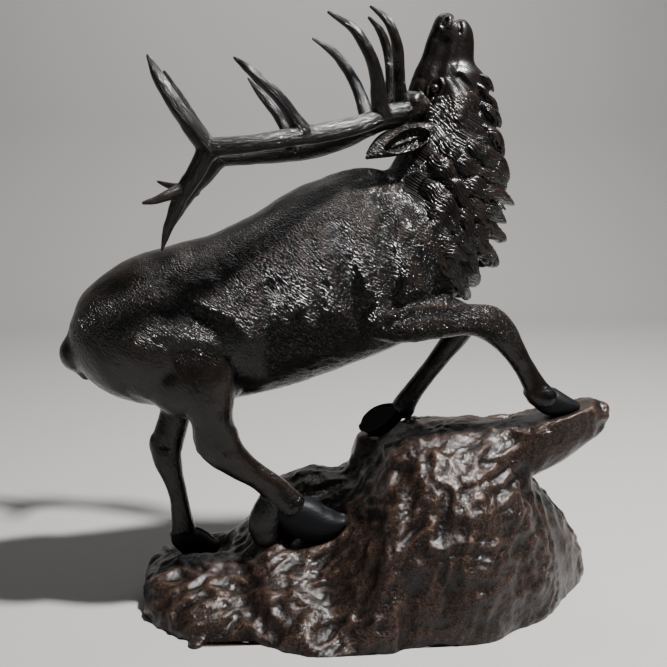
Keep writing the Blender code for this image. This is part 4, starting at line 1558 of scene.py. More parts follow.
@dataclass
class Mane:
    """Long locks down the throat and over the sides of the neck.

    Attributes:
        unit: Metres to a figure unit.
        sides: Points round a lock.
        rings: Rings along it.
        locks: The locks, once they are laid.
    """

    unit: float
    sides: int = 20
    rings: int = 16
    locks: list[Lock] = field(default_factory=list)

    # Locks of the throat, from the jaw to the chest: x, distance from the middle and z along the
    # spine, half the width and thickness, and the tip
    THROAT = (
        (((31.6, 5.4, 171.6), (34.2, 3.6, 169.4), (36.6, 1.2, 166.2)), 1.2, 0.9, POINTED),
        (((33.6, 6.2, 166.0), (36.4, 3.8, 162.2), (38.1, 1.4, 158.8)), 1.3, 1.1, POINTED),
        (((34.8, 6.6, 161.6), (37.4, 3.8, 158.4), (39.0, 1.4, 155.6)), 1.3, 1.1, POINTED),
        (((30.4, 7.6, 168.6), (32.6, 6.6, 166.4), (34.6, 5.2, 163.2)), 1.1, 0.7, POINTED),
        (((32.2, 8.8, 162.8), (34.6, 7.6, 160.2), (36.8, 5.6, 156.6)), 1.3, 0.9, POINTED),
        (((32.0, 10.4, 155.8), (36.6, 7.4, 152.2), (39.4, 3.4, 146.6)), 2.3, 1.4, BLUNT),
        (((27.8, 12.4, 149.8), (32.8, 10.4, 146.6), (37.8, 7.2, 143.4), (41.0, 3.2, 138.6)), 3.6, 2.4, BLUNT),
        (((28.2, 13.2, 143.0), (33.6, 10.8, 140.6), (38.0, 6.8, 138.8), (40.4, 3.4, 136.2)), 2.7, 2.0, BLUNT),
        (((28.6, 13.4, 137.0), (34.3, 10.2, 135.8), (39.2, 6.2, 134.2),
          (44.0, 2.6, 131.6)), 3.0, 2.4, POINTED),
        (((28.0, 13.8, 132.0), (33.8, 10.4, 130.6), (37.6, 6.2, 128.6),
          (41.6, 2.8, 125.2)), 2.9, 2.2, POINTED),
        (((29.8, 12.4, 127.6), (35.0, 8.4, 124.6), (38.4, 5.2, 121.8), (41.4, 3.0, 119.8)), 2.3, 2.0, BLUNT),
        (((26.4, 14.4, 122.4), (31.8, 11.0, 119.0), (35.6, 6.8, 115.2), (38.5, 3.6, 112.4)), 3.3, 2.4, BLUNT),
        (((24.0, 14.8, 114.6), (27.8, 12.0, 111.4), (30.8, 7.2, 108.6), (32.8, 4.0, 106.4)), 2.7, 2.0, BLUNT),
        (((21.4, 14.0, 109.6), (25.4, 11.4, 106.2), (27.8, 7.2, 103.6), (29.6, 4.0, 101.2)), 2.3, 1.7, BLUNT),
    )
    # Locks of the neck's side, in the same way, all of them pointed
    FLANK = (
        (((25.0, 13.4, 151.4), (29.4, 12.8, 149.0), (33.8, 10.8, 147.2)), 2.4, 1.2),
        (((16.6, 12.6, 151.4), (20.2, 14.0, 148.0), (22.8, 14.9, 143.0)), 2.7, 1.2),
        (((13.6, 13.0, 146.6), (18.5, 14.9, 143.0), (24.4, 15.5, 139.0)), 3.0, 1.4),
        (((21.0, 14.0, 148.4), (25.5, 14.6, 144.8), (31.0, 13.0, 140.4)), 2.9, 1.4),
        (((24.6, 15.2, 140.6), (29.4, 14.2, 137.4), (33.4, 12.2, 132.6)), 2.6, 1.3),
        (((17.8, 15.4, 140.6), (23.0, 15.9, 136.8), (27.8, 15.0, 130.6)), 3.0, 1.4),
        (((11.4, 15.0, 138.6), (16.7, 16.4, 135.4), (20.6, 17.0, 131.4), (22.4, 17.2, 124.6)), 3.2, 1.5),
        (((25.0, 15.4, 134.4), (29.6, 14.2, 130.6), (32.8, 12.6, 125.4)), 2.5, 1.2),
        (((22.4, 16.0, 132.2), (25.9, 15.8, 128.0), (28.8, 14.6, 121.2)), 2.8, 1.4),
        (((12.4, 16.3, 132.8), (17.2, 17.3, 129.6), (21.8, 17.4, 123.8)), 2.8, 1.4),
        (((27.2, 14.6, 127.6), (31.0, 13.0, 123.8), (34.2, 10.6, 118.0)), 2.4, 1.2),
        (((20.4, 16.9, 125.4), (24.7, 16.2, 121.8), (30.0, 13.0, 117.2)), 2.8, 1.4),
        (((11.2, 17.2, 127.4), (16.5, 17.9, 124.4), (22.2, 17.4, 120.4)), 2.9, 1.4),
        (((14.6, 17.6, 122.8), (20.8, 17.3, 118.4), (27.4, 14.2, 114.2)), 3.0, 1.4),
        (((24.4, 15.6, 118.4), (28.6, 13.6, 114.8), (32.0, 10.6, 110.2)), 2.3, 1.2),
        (((15.6, 17.6, 118.8), (21.4, 16.7, 113.6), (27.4, 11.0, 106.4)), 2.8, 1.4),
        (((10.8, 18.0, 121.4), (15.2, 18.5, 117.6), (19.6, 17.8, 112.4)), 2.5, 1.2),
        (((19.0, 17.2, 112.6), (23.6, 15.0, 108.8), (27.4, 11.2, 103.8)), 2.2, 1.1),
    )
    # How deep a root is sunk, how far the tip of a flank lock is lifted and how thin it lies, how far
    # the locks swing aside in an S, and how far the strands in them do
    SUNK = 1.4
    LIFTED = 0.25
    THIN = 0.62
    SWING = 1.1
    WAVE = 0.45
    # How much of a lock's length is sunk in, how much its width varies, and how long its S is
    ROOT, VARIED, SWINGS = 0.35, 0.2, 5.2
    # How much lower the far locks hang, and how much that varies
    FAR_LOW, FAR_VARIED = 1.1, 0.8

    def laid(self) -> list[Lock]:
        """Works out the locks of both sides, which hang a little differently.

        Returns:
            The locks, the near side's first.
        """
        neck = Neck()
        flank = [(*row, POINTED) for row in self.FLANK]
        found = []
        for side in Side:
            for group, lifted, thin in ((flank, self.LIFTED, self.THIN), (self.THROAT, 0.0, 1.0)):
                for number, (spine, wide, thick, tip) in enumerate(group):
                    flat = through(spine, 6)
                    share = np.linspace(0, 1, len(flat))[:, None]
                    low = (self.FAR_LOW + self.FAR_VARIED * math.sin(number * 1.7)) * (side is Side.FAR)
                    line = flat * (1, side.value, 1) - np.array([0.5, 0, 1.0]) * low
                    out = neck.out(line)
                    line = line + out * (lifted * share**3 - self.SUNK * (1 - share / self.ROOT).clip(0, 1))
                    vary = 1 + self.VARIED * math.sin(number * 2.3 + side.value)
                    lock = Lock(line, out, wide * vary, thick * thin / vary, tip)
                    turn = np.sin(self.SWINGS * share + number * 2.1 + side.value)
                    lock.line = line + lock.frames()[1] * (self.SWING * (1.4 - thin) * share * turn)
                    found.append(lock)
        return found

    def straight(self) -> Thing:
        """Models one straight lock, ring by ring.

        Returns:
            A closed lock along +Z, one unit long and two wide.
        """
        deselect()
        bpy.ops.mesh.primitive_circle_add(vertices=self.sides, radius=1, fill_type="NGON")
        lock = bpy.context.object
        lock.name = "straight lock"
        bpy.ops.object.mode_set(mode="EDIT")
        for _ in range(self.rings - 1):
            bpy.ops.mesh.extrude_region_move(TRANSFORM_OT_translate={"value": (0, 0, 1 / (self.rings - 1))})
        face_out()
        return lock

    def grown(self) -> list[Thing]:
        """Lays copies of the lock over the neck.

        Returns:
            The locks, each a closed mesh of its own.
        """
        first = self.straight()
        flat = Relief(first, 1.0).points
        self.locks = self.laid()
        copies = []
        for number, lock in enumerate(self.locks):
            mesh = first.data.copy()
            copy = bpy.data.objects.new(f"lock {number}", mesh)
            bpy.context.scene.collection.objects.link(copy)
            mesh.vertices.foreach_set("co", (lock.bend(flat) * self.unit).astype(np.float32).ravel())
            activate(copy)
            bpy.ops.object.mode_set(mode="EDIT")
            face_out()
            copies.append(copy)
        bpy.data.objects.remove(first, do_unlink=True)
        return copies

    def comb(self, units: Array) -> tuple[Array, Array]:
        """The combed coordinates of the skin.

        Args:
            units: The points, in figure units.

        Returns:
            A row of three for each point, across, along and through the hair, and how much of a
            lock each point belongs to.
        """
        a = math.radians(HidePatina.LIES[2])
        found = np.stack([units @ np.array([-math.sin(a), 0, math.cos(a)]),
                          units @ np.array([math.cos(a), 0, math.sin(a)]), units[:, 1]], axis=1)
        best = np.full(len(units), 1.9)
        for number, lock in enumerate(self.locks):
            low, high = lock.line.min(axis=0) - 5, lock.line.max(axis=0) + 5
            close = np.flatnonzero(np.all((units > low) & (units < high), axis=1))
            reach, across, down = lock.comb(units[close])
            won = reach < best[close]
            best[close[won]] = reach[won]
            across = across + self.WAVE * np.sin(down / 1.25 + number)
            found[close[won]] = np.stack([across[won], down[won], np.full(won.sum(), number * 5.3)], axis=1)
        return found, 1 - eased(best, 1.2, 1.9)


@dataclass
class Ears:
    """Two leaf-shaped ears laid back, hollow on their outer side.

    Attributes:
        unit: Metres to a figure unit.
        voxel: The skin's cell, in metres.
        triangles: The most that they keep.
    """

    unit: float
    voxel: float = 0.002
    triangles: int = 50_000

    # Rows from base to tip: x, distance from the middle, z, half height and half thickness
    LEAF = (
        (17.8, 7.4, 155.6, 1.8, 2.0), (15, 8.4, 154.6, 2.6, 2.3), (11, 9.8, 153, 3.9, 2.4),
        (6, 11.4, 151.4, 4.1, 2.1), (1, 13, 149.7, 3.4, 1.7), (-2.6, 14, 147.9, 2.0, 1.2),
        (-4.9, 14.6, 146.4, 0.6, 0.6),
    )
    # The hollow as x, z and half its height, and how deep it is
    HOLLOW = ((1.0, 149.1, 0.9), (3.9, 150.0, 2.3), (7.6, 151.4, 3.2), (11.2, 152.6, 2.9), (13.4, 153.3, 1.4))
    # How far ahead of the near ear's tip and above it the far one's lies
    FAR_TIP = (3.6, 1.2)
    DEEP = 1.9
    # Inside the hollow: the ridge's height and width, the ribs' height and number, and the rim's
    RIDGE_HIGH, RIDGE_WIDE, RIB_HIGH, RIBS, RIM_HIGH = 0.55, 0.22, 0.34, 11, 0.3

    def hollow(self, relief: Relief) -> None:
        """Scoops the outer side, with a ridge along it and ribs of hair towards the rim.

        Args:
            relief: The near ear.
        """
        line = through(self.HOLLOW, 8)
        spots = relief.points[:, [0, 2]] / self.unit
        best = np.full(len(spots), FAR_OFF)
        aside, along = np.zeros((2, len(spots)))
        for i in range(len(line) - 1):
            run = line[i + 1, :2] - line[i, :2]
            t = np.clip((spots - line[i, :2]) @ run / (run @ run), 0, 1)
            off = spots - line[i, :2] - t[:, None] * run
            half = line[i, 2] + t * (line[i + 1, 2] - line[i, 2])
            away = np.linalg.norm(off, axis=1) / half
            closer = away < best
            best[closer] = away[closer]
            aside[closer] = (np.sign(run[0] * off[:, 1] - run[1] * off[:, 0]) * away)[closer]
            along[closer] = ((i + t) / len(line))[closer]
        wall = 1 - eased(best, 0.55, 1.0)
        ridge = np.clip(1 - np.abs(aside) / self.RIDGE_WIDE, 0, 1) * eased(along, 0.05, 0.3)
        ribs = 0.5 + 0.5 * np.cos(2 * math.pi * (along * self.RIBS + np.abs(aside) * 1.6))
        beside = np.clip(np.abs(aside) * 2, 0, 1)
        depth = self.DEEP * wall - wall * (self.RIDGE_HIGH * ridge + self.RIB_HIGH * ribs * beside)
        rim = self.RIM_HIGH * np.clip(1 - np.abs(best - 1.08) / 0.16, 0, 1)
        outward = np.clip(-relief.normals[:, 1] * 3, 0, 1)
        relief.points[:, 1] += (depth - rim) * outward * self.unit

    def build(self) -> Thing:
        """Models the near ear and mirrors it.

        Returns:
            Both ears.
        """
        rows = [(x, -y, z, thick, wide) for x, y, z, thick, wide in self.LEAF]
        near = Limb(rows, 48, 12).build("near ear", self.unit)
        apply_modifier(near, "REMESH", mode="VOXEL", voxel_size=self.voxel)
        apply_modifier(near, "SMOOTH", factor=0.5, iterations=3)
        relief = Relief(near, self.unit)
        self.hollow(relief)
        relief.write()
        apply_modifier(near, "SMOOTH", factor=0.5, iterations=1)
        far = copied(near, "far ear")
        far.scale = (1, -1, 1)
        bpy.ops.object.transform_apply(location=False, rotation=False, scale=True)
        relief = Relief(far, self.unit)
        x = relief.points[:, 0] / self.unit
        share = np.clip((self.LEAF[0][0] - x) / (self.LEAF[0][0] - self.LEAF[-1][0]), 0, 1)[:, None]
        relief.points[:, [0, 2]] += share * np.array(self.FAR_TIP) * self.unit
        relief.write()
        bpy.ops.object.mode_set(mode="EDIT")
        face_out()
        ears = joined([near, far], "ears")
        thinned(ears, self.triangles)
        relief = Relief(ears, self.unit)
        paint(ears, "flow", np.tile([0.0, 0.0, 1.0], (len(relief.points), 1)))
        paint_value(ears, "cavity", relief.cavity(12, 0.2))
        return ears


@dataclass
class Antlers:
    """Two six-point antlers swept back over the body.

    Attributes:
        unit: Metres to a figure unit.
        voxel: The skin's cell, in metres.
        triangles: The most that they keep.
    """

    unit: float
    voxel: float = 0.0034
    triangles: int = 150_000

    # Rows of x, distance from the middle, z and radius: the beam, then its points from burr to fork
    BEAM = (
        (12, 3.2, 161.6, 3.4), (7.4, 8, 160.4, 3.3), (0.7, 12, 159.0, 2.9), (-7.3, 17, 156.1, 2.8),
        (-18, 22, 153.7, 2.8), (-28.3, 26, 152.2, 2.7), (-38, 29, 150.6, 2.5), (-47.4, 30, 149.6, 2.7),
        (-52, 30, 149.2, 2.9),
    )
    POINTS = (
        ((6.5, 8, 161, 2.8), (5.2, 10, 168, 2.1), (4.9, 11, 173, 1.85), (3.9, 13, 179, 1.7),
         (1.2, 13, 185.6, 1.4), (-3.6, 11, 190, 0.55)),
        ((-0.4, 13, 158.6, 3.0), (-1.6, 15.4, 164, 2.5), (-2.4, 17, 168.6, 2.2), (-4.8, 19, 175.4, 1.9),
         (-9.4, 19, 182.4, 1.5), (-16.6, 17, 187.4, 0.55)),
        ((-24.4, 24.6, 153.6, 2.9), (-28, 25.4, 158.6, 2.1), (-31.6, 26.4, 163.4, 1.8),
         (-36.2, 27, 167.6, 1.6), (-40.1, 27, 171, 1.3), (-43.6, 26, 173.8, 0.45)),
        ((-51, 30, 148.6, 2.9), (-55.9, 31, 155.3, 2.5), (-60.4, 31, 162, 2.2), (-64.3, 30, 168.6, 1.7),
         (-67.1, 28, 174, 0.55)),
        ((-51.5, 30, 148.8, 2.9), (-54.8, 30, 142.6, 2.6), (-58.4, 29, 137.6, 2.4), (-61.5, 28, 131.4, 1.9),
         (-64.2, 26, 124.7, 1.2), (-65.6, 25, 120.4, 0.45)),
        ((-58.4, 29, 138, 2.2), (-61.6, 31, 136.8, 1.7), (-65.6, 33, 135.2, 1.2), (-69.2, 34.4, 134.4, 0.5)),
    )
    # Where the near antler was joined on and its patina is thin, and how far that reaches
    WELD = ((7.4, -8.5, 163.4), 4.6)
    # The far antler hangs lower: how its beam sags, at mid length and at the fork
    BEAM_SAG, FORK_SAG = 5.2, 3.4
    # How its points lie off the near one's: along x at the foot, and along x and z at the tip
    FAR_SHIFTS = ((0, 0, 0), (0, 2, 0), (0, -2.6, -3.2), (0, 3.0, -1.6), (0, -1.6, 0.6), (0, -3.6, 0.6),
                  (-1.7, -3.9, 3.4))

    # Where along the beam it sags most
    LOWEST = 0.6
    # The middle and reach, in x and z, of the knobs that ring an antler's foot, and their height
    BURR, BURR_WIDE, BURR_HIGH = (9.6, 161.0), 3.4, 0.35
    # The bark's grooves, across and along, and how high it and its knots stand
    BARK, BARK_HIGH, KNOT_HIGH = (1 / 0.85, 1 / 0.85, 1 / 5.5), 0.13, 0.10
    # A way that no tube runs, to measure round them from, and how far apart their grooves are read
    UPRIGHT, TUBE_SHIFT = (0.3, 1.0, 0.2), 31

    def sag(self, x: float) -> float:
        """How far below the near beam the far one lies.

        Args:
            x: Where along the beam, in figure units.

        Returns:
            The distance, in figure units.
        """
        share = min(max((self.BEAM[0][0] - x) / (self.BEAM[0][0] - self.BEAM[-1][0]), 0), 1)
        if share < self.LOWEST:
            return self.BEAM_SAG * math.sin(math.pi / 2 * share / self.LOWEST)
        return self.BEAM_SAG + (self.FORK_SAG - self.BEAM_SAG) * (share - self.LOWEST) / (1 - self.LOWEST)

    def tubes(self) -> list[list[Row]]:
        """Works out the rows of every beam and point.

        Returns:
            Rows of x, y, z and two equal half sizes, for each tube of both antlers.
        """
        found = []
        for rows, (start, end, above) in zip((self.BEAM,) + self.POINTS, self.FAR_SHIFTS):
            near = [(x, -y, z, r, r) for x, y, z, r in rows]
            found.append(near)
            far = []
            for number, (x, y, z, thick, wide) in enumerate(near):
                share = number / (len(rows) - 1)
                drop = self.sag(x) if rows is self.BEAM else self.sag(rows[0][0]) * (1 - share)
                far.append((x + start + (end - start) * share, -y, z + above * share - drop, thick, wide))
            found.append(far)
        return found

    def grain(self, units: Array) -> Array:
        """How far round, out and along its own tube each point lies.

        Args:
            units: The points, in figure units.

        Returns:
            A row of three for each point.
        """
        best = np.full(len(units), FAR_OFF)
        found = np.zeros((len(units), 3))
        for number, rows in enumerate(self.tubes()):
            line = through(rows, 4)
            along = unit_rows(np.gradient(line[:, :3], axis=0))
            length = np.concatenate([[0], np.cumsum(np.linalg.norm(np.diff(line[:, :3], axis=0), axis=1))])
            up = unit_rows(np.cross(self.UPRIGHT, along))
            side = np.cross(along, up)
            for i in range(len(line) - 1):
                run = line[i + 1, :3] - line[i, :3]
                t = np.clip((units - line[i, :3]) @ run / (run @ run), 0, 1)
                off = units - line[i, :3] - t[:, None] * run
                away = np.linalg.norm(off, axis=1) - line[i, 3]
                closer = away < best
                best[closer] = away[closer]
                place = length[i] + t * (length[i + 1] - length[i]) + number * self.TUBE_SHIFT
                found[closer] = np.stack([off @ up[i], off @ side[i], place], axis=1)[closer]
        return found

    def build(self) -> Thing:
        """Fuses the tubes and works the bark.

        Returns:
            Both antlers.
        """
        parts = [Limb(rows, 14, 5).build("point", self.unit) for rows in self.tubes()]
        antlers = fused(parts, "antlers", self.voxel, 5)
        relief = Relief(antlers, self.unit)
        units = relief.points / self.unit
        bark = cloud(self.grain(units) * self.BARK, 1.0, 31)
        knots = cloud(units, 2.4, 32)
        away = np.hypot(units[:, 0] - self.BURR[0], units[:, 2] - self.BURR[1])
        burr = np.clip(1 - (away / self.BURR_WIDE) ** 2, 0, 1)
        burr = burr * (self.BURR_HIGH + 0.5 * cloud(units, 1.3, 33))
        relief.raise_by(self.BARK_HIGH * bark + self.KNOT_HIGH * knots + burr)
        relief.write()
        thinned(antlers, self.triangles)
        relief = Relief(antlers, self.unit)
        paint(antlers, "grain", self.grain(relief.points / self.unit))
        away = np.linalg.norm(relief.points / self.unit - np.array(self.WELD[0]), axis=1)
        rubbed = 1 - eased(away, 0.4 * self.WELD[1], self.WELD[1])
        paint_value(antlers, "cavity", np.maximum(relief.cavity(8, 0.14) * 0.82, 0.95 * rubbed))
        return antlers


@dataclass
class Hooves:
    """Four cloven hooves.

    Attributes:
        unit: Metres to a figure unit.
        voxel: The skin's cell, in metres.
        triangles: The most that they keep.
    """

    unit: float
    voxel: float = 0.0026
    triangles: int = 50_000

    # Each hoof as its place across and rows of x, z, half thickness and half width
    FEET = (
        (-10.5, ((-31.0, 33.4, 4.9, 4.4), (-25.6, 30.2, 6.9, 5.4), (-19.8, 27.8, 6.4, 5.8),
                 (-15.0, 27.7, 4.4, 5.3), (-11.8, 28.3, 2.0, 3.9))),
        (10.5, ((-66.4, 14.8, 4.6, 4.2), (-62.4, 12.2, 5.4, 4.9), (-58.4, 11.2, 4.2, 5.0),
                (-55.8, 11.0, 2.4, 3.8))),
        (-12.0, ((51.6, 70.2, 3.4, 3.8), (56.4, 68.2, 4.6, 4.8), (60.8, 67.3, 3.2, 4.8),
                 (64.6, 66.9, 1.4, 3.6))),
        (14.0, ((10.4, 58.2, 3.0, 3.2), (7.0, 56.6, 4.4, 4.4), (3.2, 54.8, 4.8, 4.8), (-0.6, 53.2, 3.3, 4.3),
                (-2.6, 52.4, 1.2, 2.8))),
    )
    # The cleft of each hoof, as x and z down its middle from the top to under the toe
    CLEFTS = (
        ((-21, 35), (-14.6, 32.2), (-9.6, 28.2), (-15, 23.6), (-22, 20.8)),
        ((-62, 18.4), (-56.6, 13.6), (-53.6, 9.6), (-58, 6.4)),
        ((57, 73.6), (62.6, 70), (66.8, 66.4), (61, 63)),
        ((-4, 52), (-3.4, 55.4), (2, 59.2), (7.6, 60.6)),
    )
    # The sole of the far fore hoof, which is folded back: its middle and the way it faces
    SOLE = ((2.6, 12.5, 56.5), (-0.46, -0.55, 0.70))
    # The sole's rim, how wide and how deep, and the width and depth of a cleft
    RIM_WIDE, RIM_DEEP = 0.4, 0.3
    CLEFT_WIDE, CLEFT_DEEP = 0.85, 0.8

    def sole(self, hoof: Thing) -> None:
        """Cuts the folded hoof's sole flat, with a rim round it.

        Args:
            hoof: The far fore hoof.
        """
        middle, facing = self.SOLE
        sliced(hoof, [c * self.unit for c in middle], facing)
        bpy.ops.object.mode_set(mode="EDIT")
        bpy.ops.mesh.select_all(action="DESELECT")
        shell = bmesh.from_edit_mesh(hoof.data)
        for face in shell.faces:
            face.select = len(face.verts) > 8 and face.normal.dot(Vector(facing)) > 0.9
        bmesh.update_edit_mesh(hoof.data)
        bpy.ops.mesh.inset(thickness=self.RIM_WIDE * self.unit, depth=-self.RIM_DEEP * self.unit)
        bpy.ops.object.mode_set(mode="OBJECT")

    def build(self) -> Thing:
        """Models each hoof and its cleft.

        Returns:
            All the hooves.
        """
        parts = []
        for y, rows in self.FEET:
            shaped = [(x, y, z, thick, wide) for x, z, thick, wide in rows]
            parts.append(Limb(shaped, 32, 6, square=0.82).build("hoof", self.unit))
        self.sole(parts[-1])
        hooves = fused(parts, "hooves", self.voxel, 3)
        relief = Relief(hooves, self.unit)
        for (y, _), line in zip(self.FEET, self.CLEFTS):
            relief.groove([(x, y, z) for x, z in line], self.CLEFT_WIDE, self.CLEFT_DEEP)
        relief.write()
        thinned(hooves, self.triangles)
        paint_value(hooves, "cavity", Relief(hooves, self.unit).cavity(8, 0.2))
        return hooves


@dataclass
class Eyes:
    """Two eyes under the brows, looking up.

    Attributes:
        unit: Metres to a figure unit.
        place: The far eye's middle, in figure units.
        radius: Its radius.
        pupil: The radius and depth of its pupil.
    """

    unit: float
    place: tuple[float, float, float] = (16.6, 7.1, 166.9)
    radius: float = 1.6
    pupil: tuple[float, float] = (0.5, 0.16)

    def build(self) -> Thing:
        """Models each eye with its pupil.

        Returns:
            Both eyes.
        """
        parts = []
        x, y, z = self.place
        for side in Side:
            deselect()
            bpy.ops.mesh.primitive_uv_sphere_add(
                segments=32, ring_count=20, radius=self.radius * self.unit,
                location=[c * self.unit for c in (x, y * side.value, z)],
                rotation=(math.radians(90), 0, 0),
            )
            eye = bpy.context.object
            bpy.ops.object.transform_apply(location=True, rotation=True, scale=True)
            relief = Relief(eye, self.unit)
            relief.swell((x, side.value * (y + self.radius), z), self.pupil[0], -self.pupil[1])
            relief.write()
            parts.append(eye)
        eyes = joined(parts, "eyes")
        paint_value(eyes, "cavity", Relief(eyes, self.unit).cavity(4, 0.2))
        return eyes


@dataclass
class Outcrop:
    """The rock: a mound with a crest and a ledge, flat below, with a tab to hold it down.

    Attributes:
        unit: Metres to a figure unit.
        voxel: The skin's cell, in metres.
        triangles: The most that it keeps.
        tab_wide: The tab's width, in metres, like its other sizes.
        tab_reach: How far it stands out of the rock.
        tab_thick: How thick it is.
        tab_edge: How far its edges are eased.
        tab_place: Its x, and the y where it meets the rock.
    """

    unit: float
    voxel: float = 0.0062
    triangles: int = 195_000
    tab_wide: float = 0.046
    tab_reach: float = 0.045
    tab_thick: float = 0.016
    tab_edge: float = 0.004
    tab_place: tuple[float, float] = (-0.588, -0.336)

    # The sections: x, front and back at the ground, where the crest runs, how high, and how much the
    # front falls away from a full round towards a straight slope
    MOUND = (
        (-79.5, -2, 6, 1, 3, 0), (-77.5, -15.5, 16, 0, 8, 0), (-72.5, -25, 22, -2, 12, 0),
        (-62, -32.5, 29, -4, 13.4, 0), (-52, -35, 33, -2, 14.2, 0), (-45, -35.4, 35, 8, 17, 0.2),
        (-39, -38, 36, 14, 25, 0.4), (-32, -41.5, 37, 14, 33, 0.7), (-24, -44.5, 38, 14, 36.4, 0.9),
        (-15, -46, 39, 12, 37, 0.9), (-8, -46, 39.5, 11, 37.6, 0.5), (-2, -44.5, 40, 9, 43, 0.15),
        (5, -42.5, 40, 6, 52, 0), (13, -42, 40, 2, 57, 0), (24, -42.5, 39.5, 0, 58, 0),
        (32, -41.5, 38.5, 0, 57.6, 0), (40, -38, 36, -1, 54.5, 0), (48, -32.5, 32, -2, 46.5, 0),
        (55, -26, 27, -1, 36.5, 0), (60, -20.5, 23, 0, 31, 0), (66, -13.5, 18, 2, 25, 0),
        (72, -6, 13, 3, 16, 0), (76.5, 0.5, 9, 4.5, 4, 0),
    )
    LEDGE = ((10, 2, 49, 8, 20), (30, -1, 50.5, 9, 20), (40, -3, 49.6, 11, 18.5), (48, -5, 51.2, 10.4, 15.5),
             (60, -7, 55.6, 8.2, 12), (68, -8, 59.4, 6.6, 9.5), (72.6, -8, 62.0, 5.2, 7.4),
             (75.0, -8, 63.2, 3.2, 5.4))
    CREVICES = (
        (((7.2, 46), (8.4, 37), (4.5, 26), (6.2, 12.6), (5, 3)), 5.0, 1.4),
        (((11.7, 27), (18.2, 16), (27.4, 2)), 4.4, 0.7),
        (((-54, 20), (-46, 14), (-36, 4)), 5.0, 1.3),
        (((-14, 30), (-20, 18), (-18, 5)), 5.0, 1.0),
        (((34, 46), (40, 30), (46, 16)), 5.5, 0.9),
    )
    # The folds' length, width and depth
    FOLD_LONG, FOLD_WIDE, FOLD_DEEP = 16.0, 6.0, 0.46
    # The way the folds run on the left, in the middle and on the right, in degrees
    FOLDS_RUN = (32, 78, 14)
    # How the folds wander: how far, over what size, and the first field
    FOLDS_WANDER = ((2.6, 11.0, 41), (0.6, 4.3, 48))
    # The size of the broad lumps and of the melted folds over them, and how high both stand
    LUMP, MELTED, LUMP_HIGH, MELTED_HIGH = 17, 8, 1.7, 0.7
    # Points round the mound, how deep it goes below the ground, and how far the tab goes into it
    ROUND, BURIED, TAB_ROOT = 48, 8, 0.09
    # Where each hoof stands: x, y, z, the slope along x, and how far round it the rock is level
    SEATS = ((-21, -10.5, 21.6, 0.28, 9, 6), (-61, 10.5, 6.9, 0.10, 11, 9), (59.5, -12.04, 64.4, 0.28, 12, 8),
             (3, 14, 51.2, 0.20, 9, 7))

    def mound(self) -> Thing:
        """Draws the mound section by section.

        Returns:
            The mound, closed, its lower half below the ground.
        """
        rows = through(self.MOUND, 4)
        deselect()
        bpy.ops.mesh.primitive_circle_add(vertices=self.ROUND, radius=1, fill_type="NGON")
        thing = bpy.context.object
        bpy.ops.object.mode_set(mode="EDIT")
        for number in range(len(rows)):
            if number:
                bpy.ops.mesh.extrude_region_move()
            shell = bmesh.from_edit_mesh(thing.data)
            ring = [v for v in shell.verts if v.select]
            if number == 0:
                angles = {v.index: math.atan2(v.co.y, v.co.x) for v in ring}
                order = [angles[v.index] for v in ring]
            x, front, back, crest, top, slack = rows[number]
            for vert, a in zip(ring, order):
                c, s = math.cos(a), math.sin(a)
                half, fall = (back - crest, 0) if c > 0 else (crest - front, max(slack, 0))
                y = crest + math.copysign(abs(c) ** (0.9 + fall), c) * half
                z = abs(s) ** (0.85 + fall) * top if s > 0 else -self.BURIED * abs(s)
                vert.co = Vector((x, y, z)) * self.unit
            bmesh.update_edit_mesh(thing.data)
        face_out()
        return thing

    def weather(self, relief: Relief) -> None:
        """Gives the rock its broad lumps and, over them, folds that look melted.

        Args:
            relief: The rock.
        """
        units = relief.points / self.unit
        height = np.empty(len(units))
        for i, at in enumerate(units):
            at = Vector(at)
            broad = noise.noise(at / self.LUMP + Vector((3, 7, 1)))
            folds = 1 - abs(noise.noise(at / self.MELTED + Vector((broad, 0, 5)))) * 2
            height[i] = self.LUMP_HIGH * broad + self.MELTED_HIGH * folds - 0.4
        relief.raise_by(height)

    def melt(self, relief: Relief) -> None:
        """Adds the smaller folds, which rise on the left, hang in the middle and lie flat on the right.

        Args:
            relief: The rock.
        """
        units = relief.points / self.unit
        bent = units.copy()
        for far, size, seed in self.FOLDS_WANDER:
            bent += far * np.stack([cloud(units, size, seed + k) for k in range(3)], axis=1)
        x = units[:, 0] + 6 * cloud(units, 14.0, 47)
        middle = eased(x, -8, 6) * (1 - eased(x, 18, 34))
        right = eased(x, 18, 34)
        folds = np.zeros(len(units))
        for share, degrees in zip((1 - middle - right, middle, right), self.FOLDS_RUN):
            there = np.flatnonzero(share > 0.01)
            a = math.radians(degrees)
            spots = bent[there]
            along = spots @ np.array([math.cos(a), 0, math.sin(a)]) / self.FOLD_LONG
            over = spots @ np.array([-math.sin(a), 0, math.cos(a)]) / self.FOLD_WIDE
            rows = np.stack([along, spots[:, 1] / self.FOLD_WIDE, over], axis=1).tolist()
            ridges = np.array([noise.ridged_multi_fractal(row, 0.9, 2.1, 4, 1.0, 2.0) for row in rows])
            folds[there] += share[there] * (ridges - ridges.mean()) / ridges.std()
        folds = self.FOLD_DEEP * folds.clip(-1.8, 2.4)
        footing = np.ones(len(units))
        for sx, sy, _, _, long, deep in self.SEATS:
            away = np.hypot((units[:, 0] - sx) / long, (units[:, 1] - sy) / deep)
            footing = np.minimum(footing, 0.15 + 0.85 * eased(away, 0.7, 1.3))
        relief.raise_by(folds * footing * eased(units[:, 2], -1.0, 2.5))

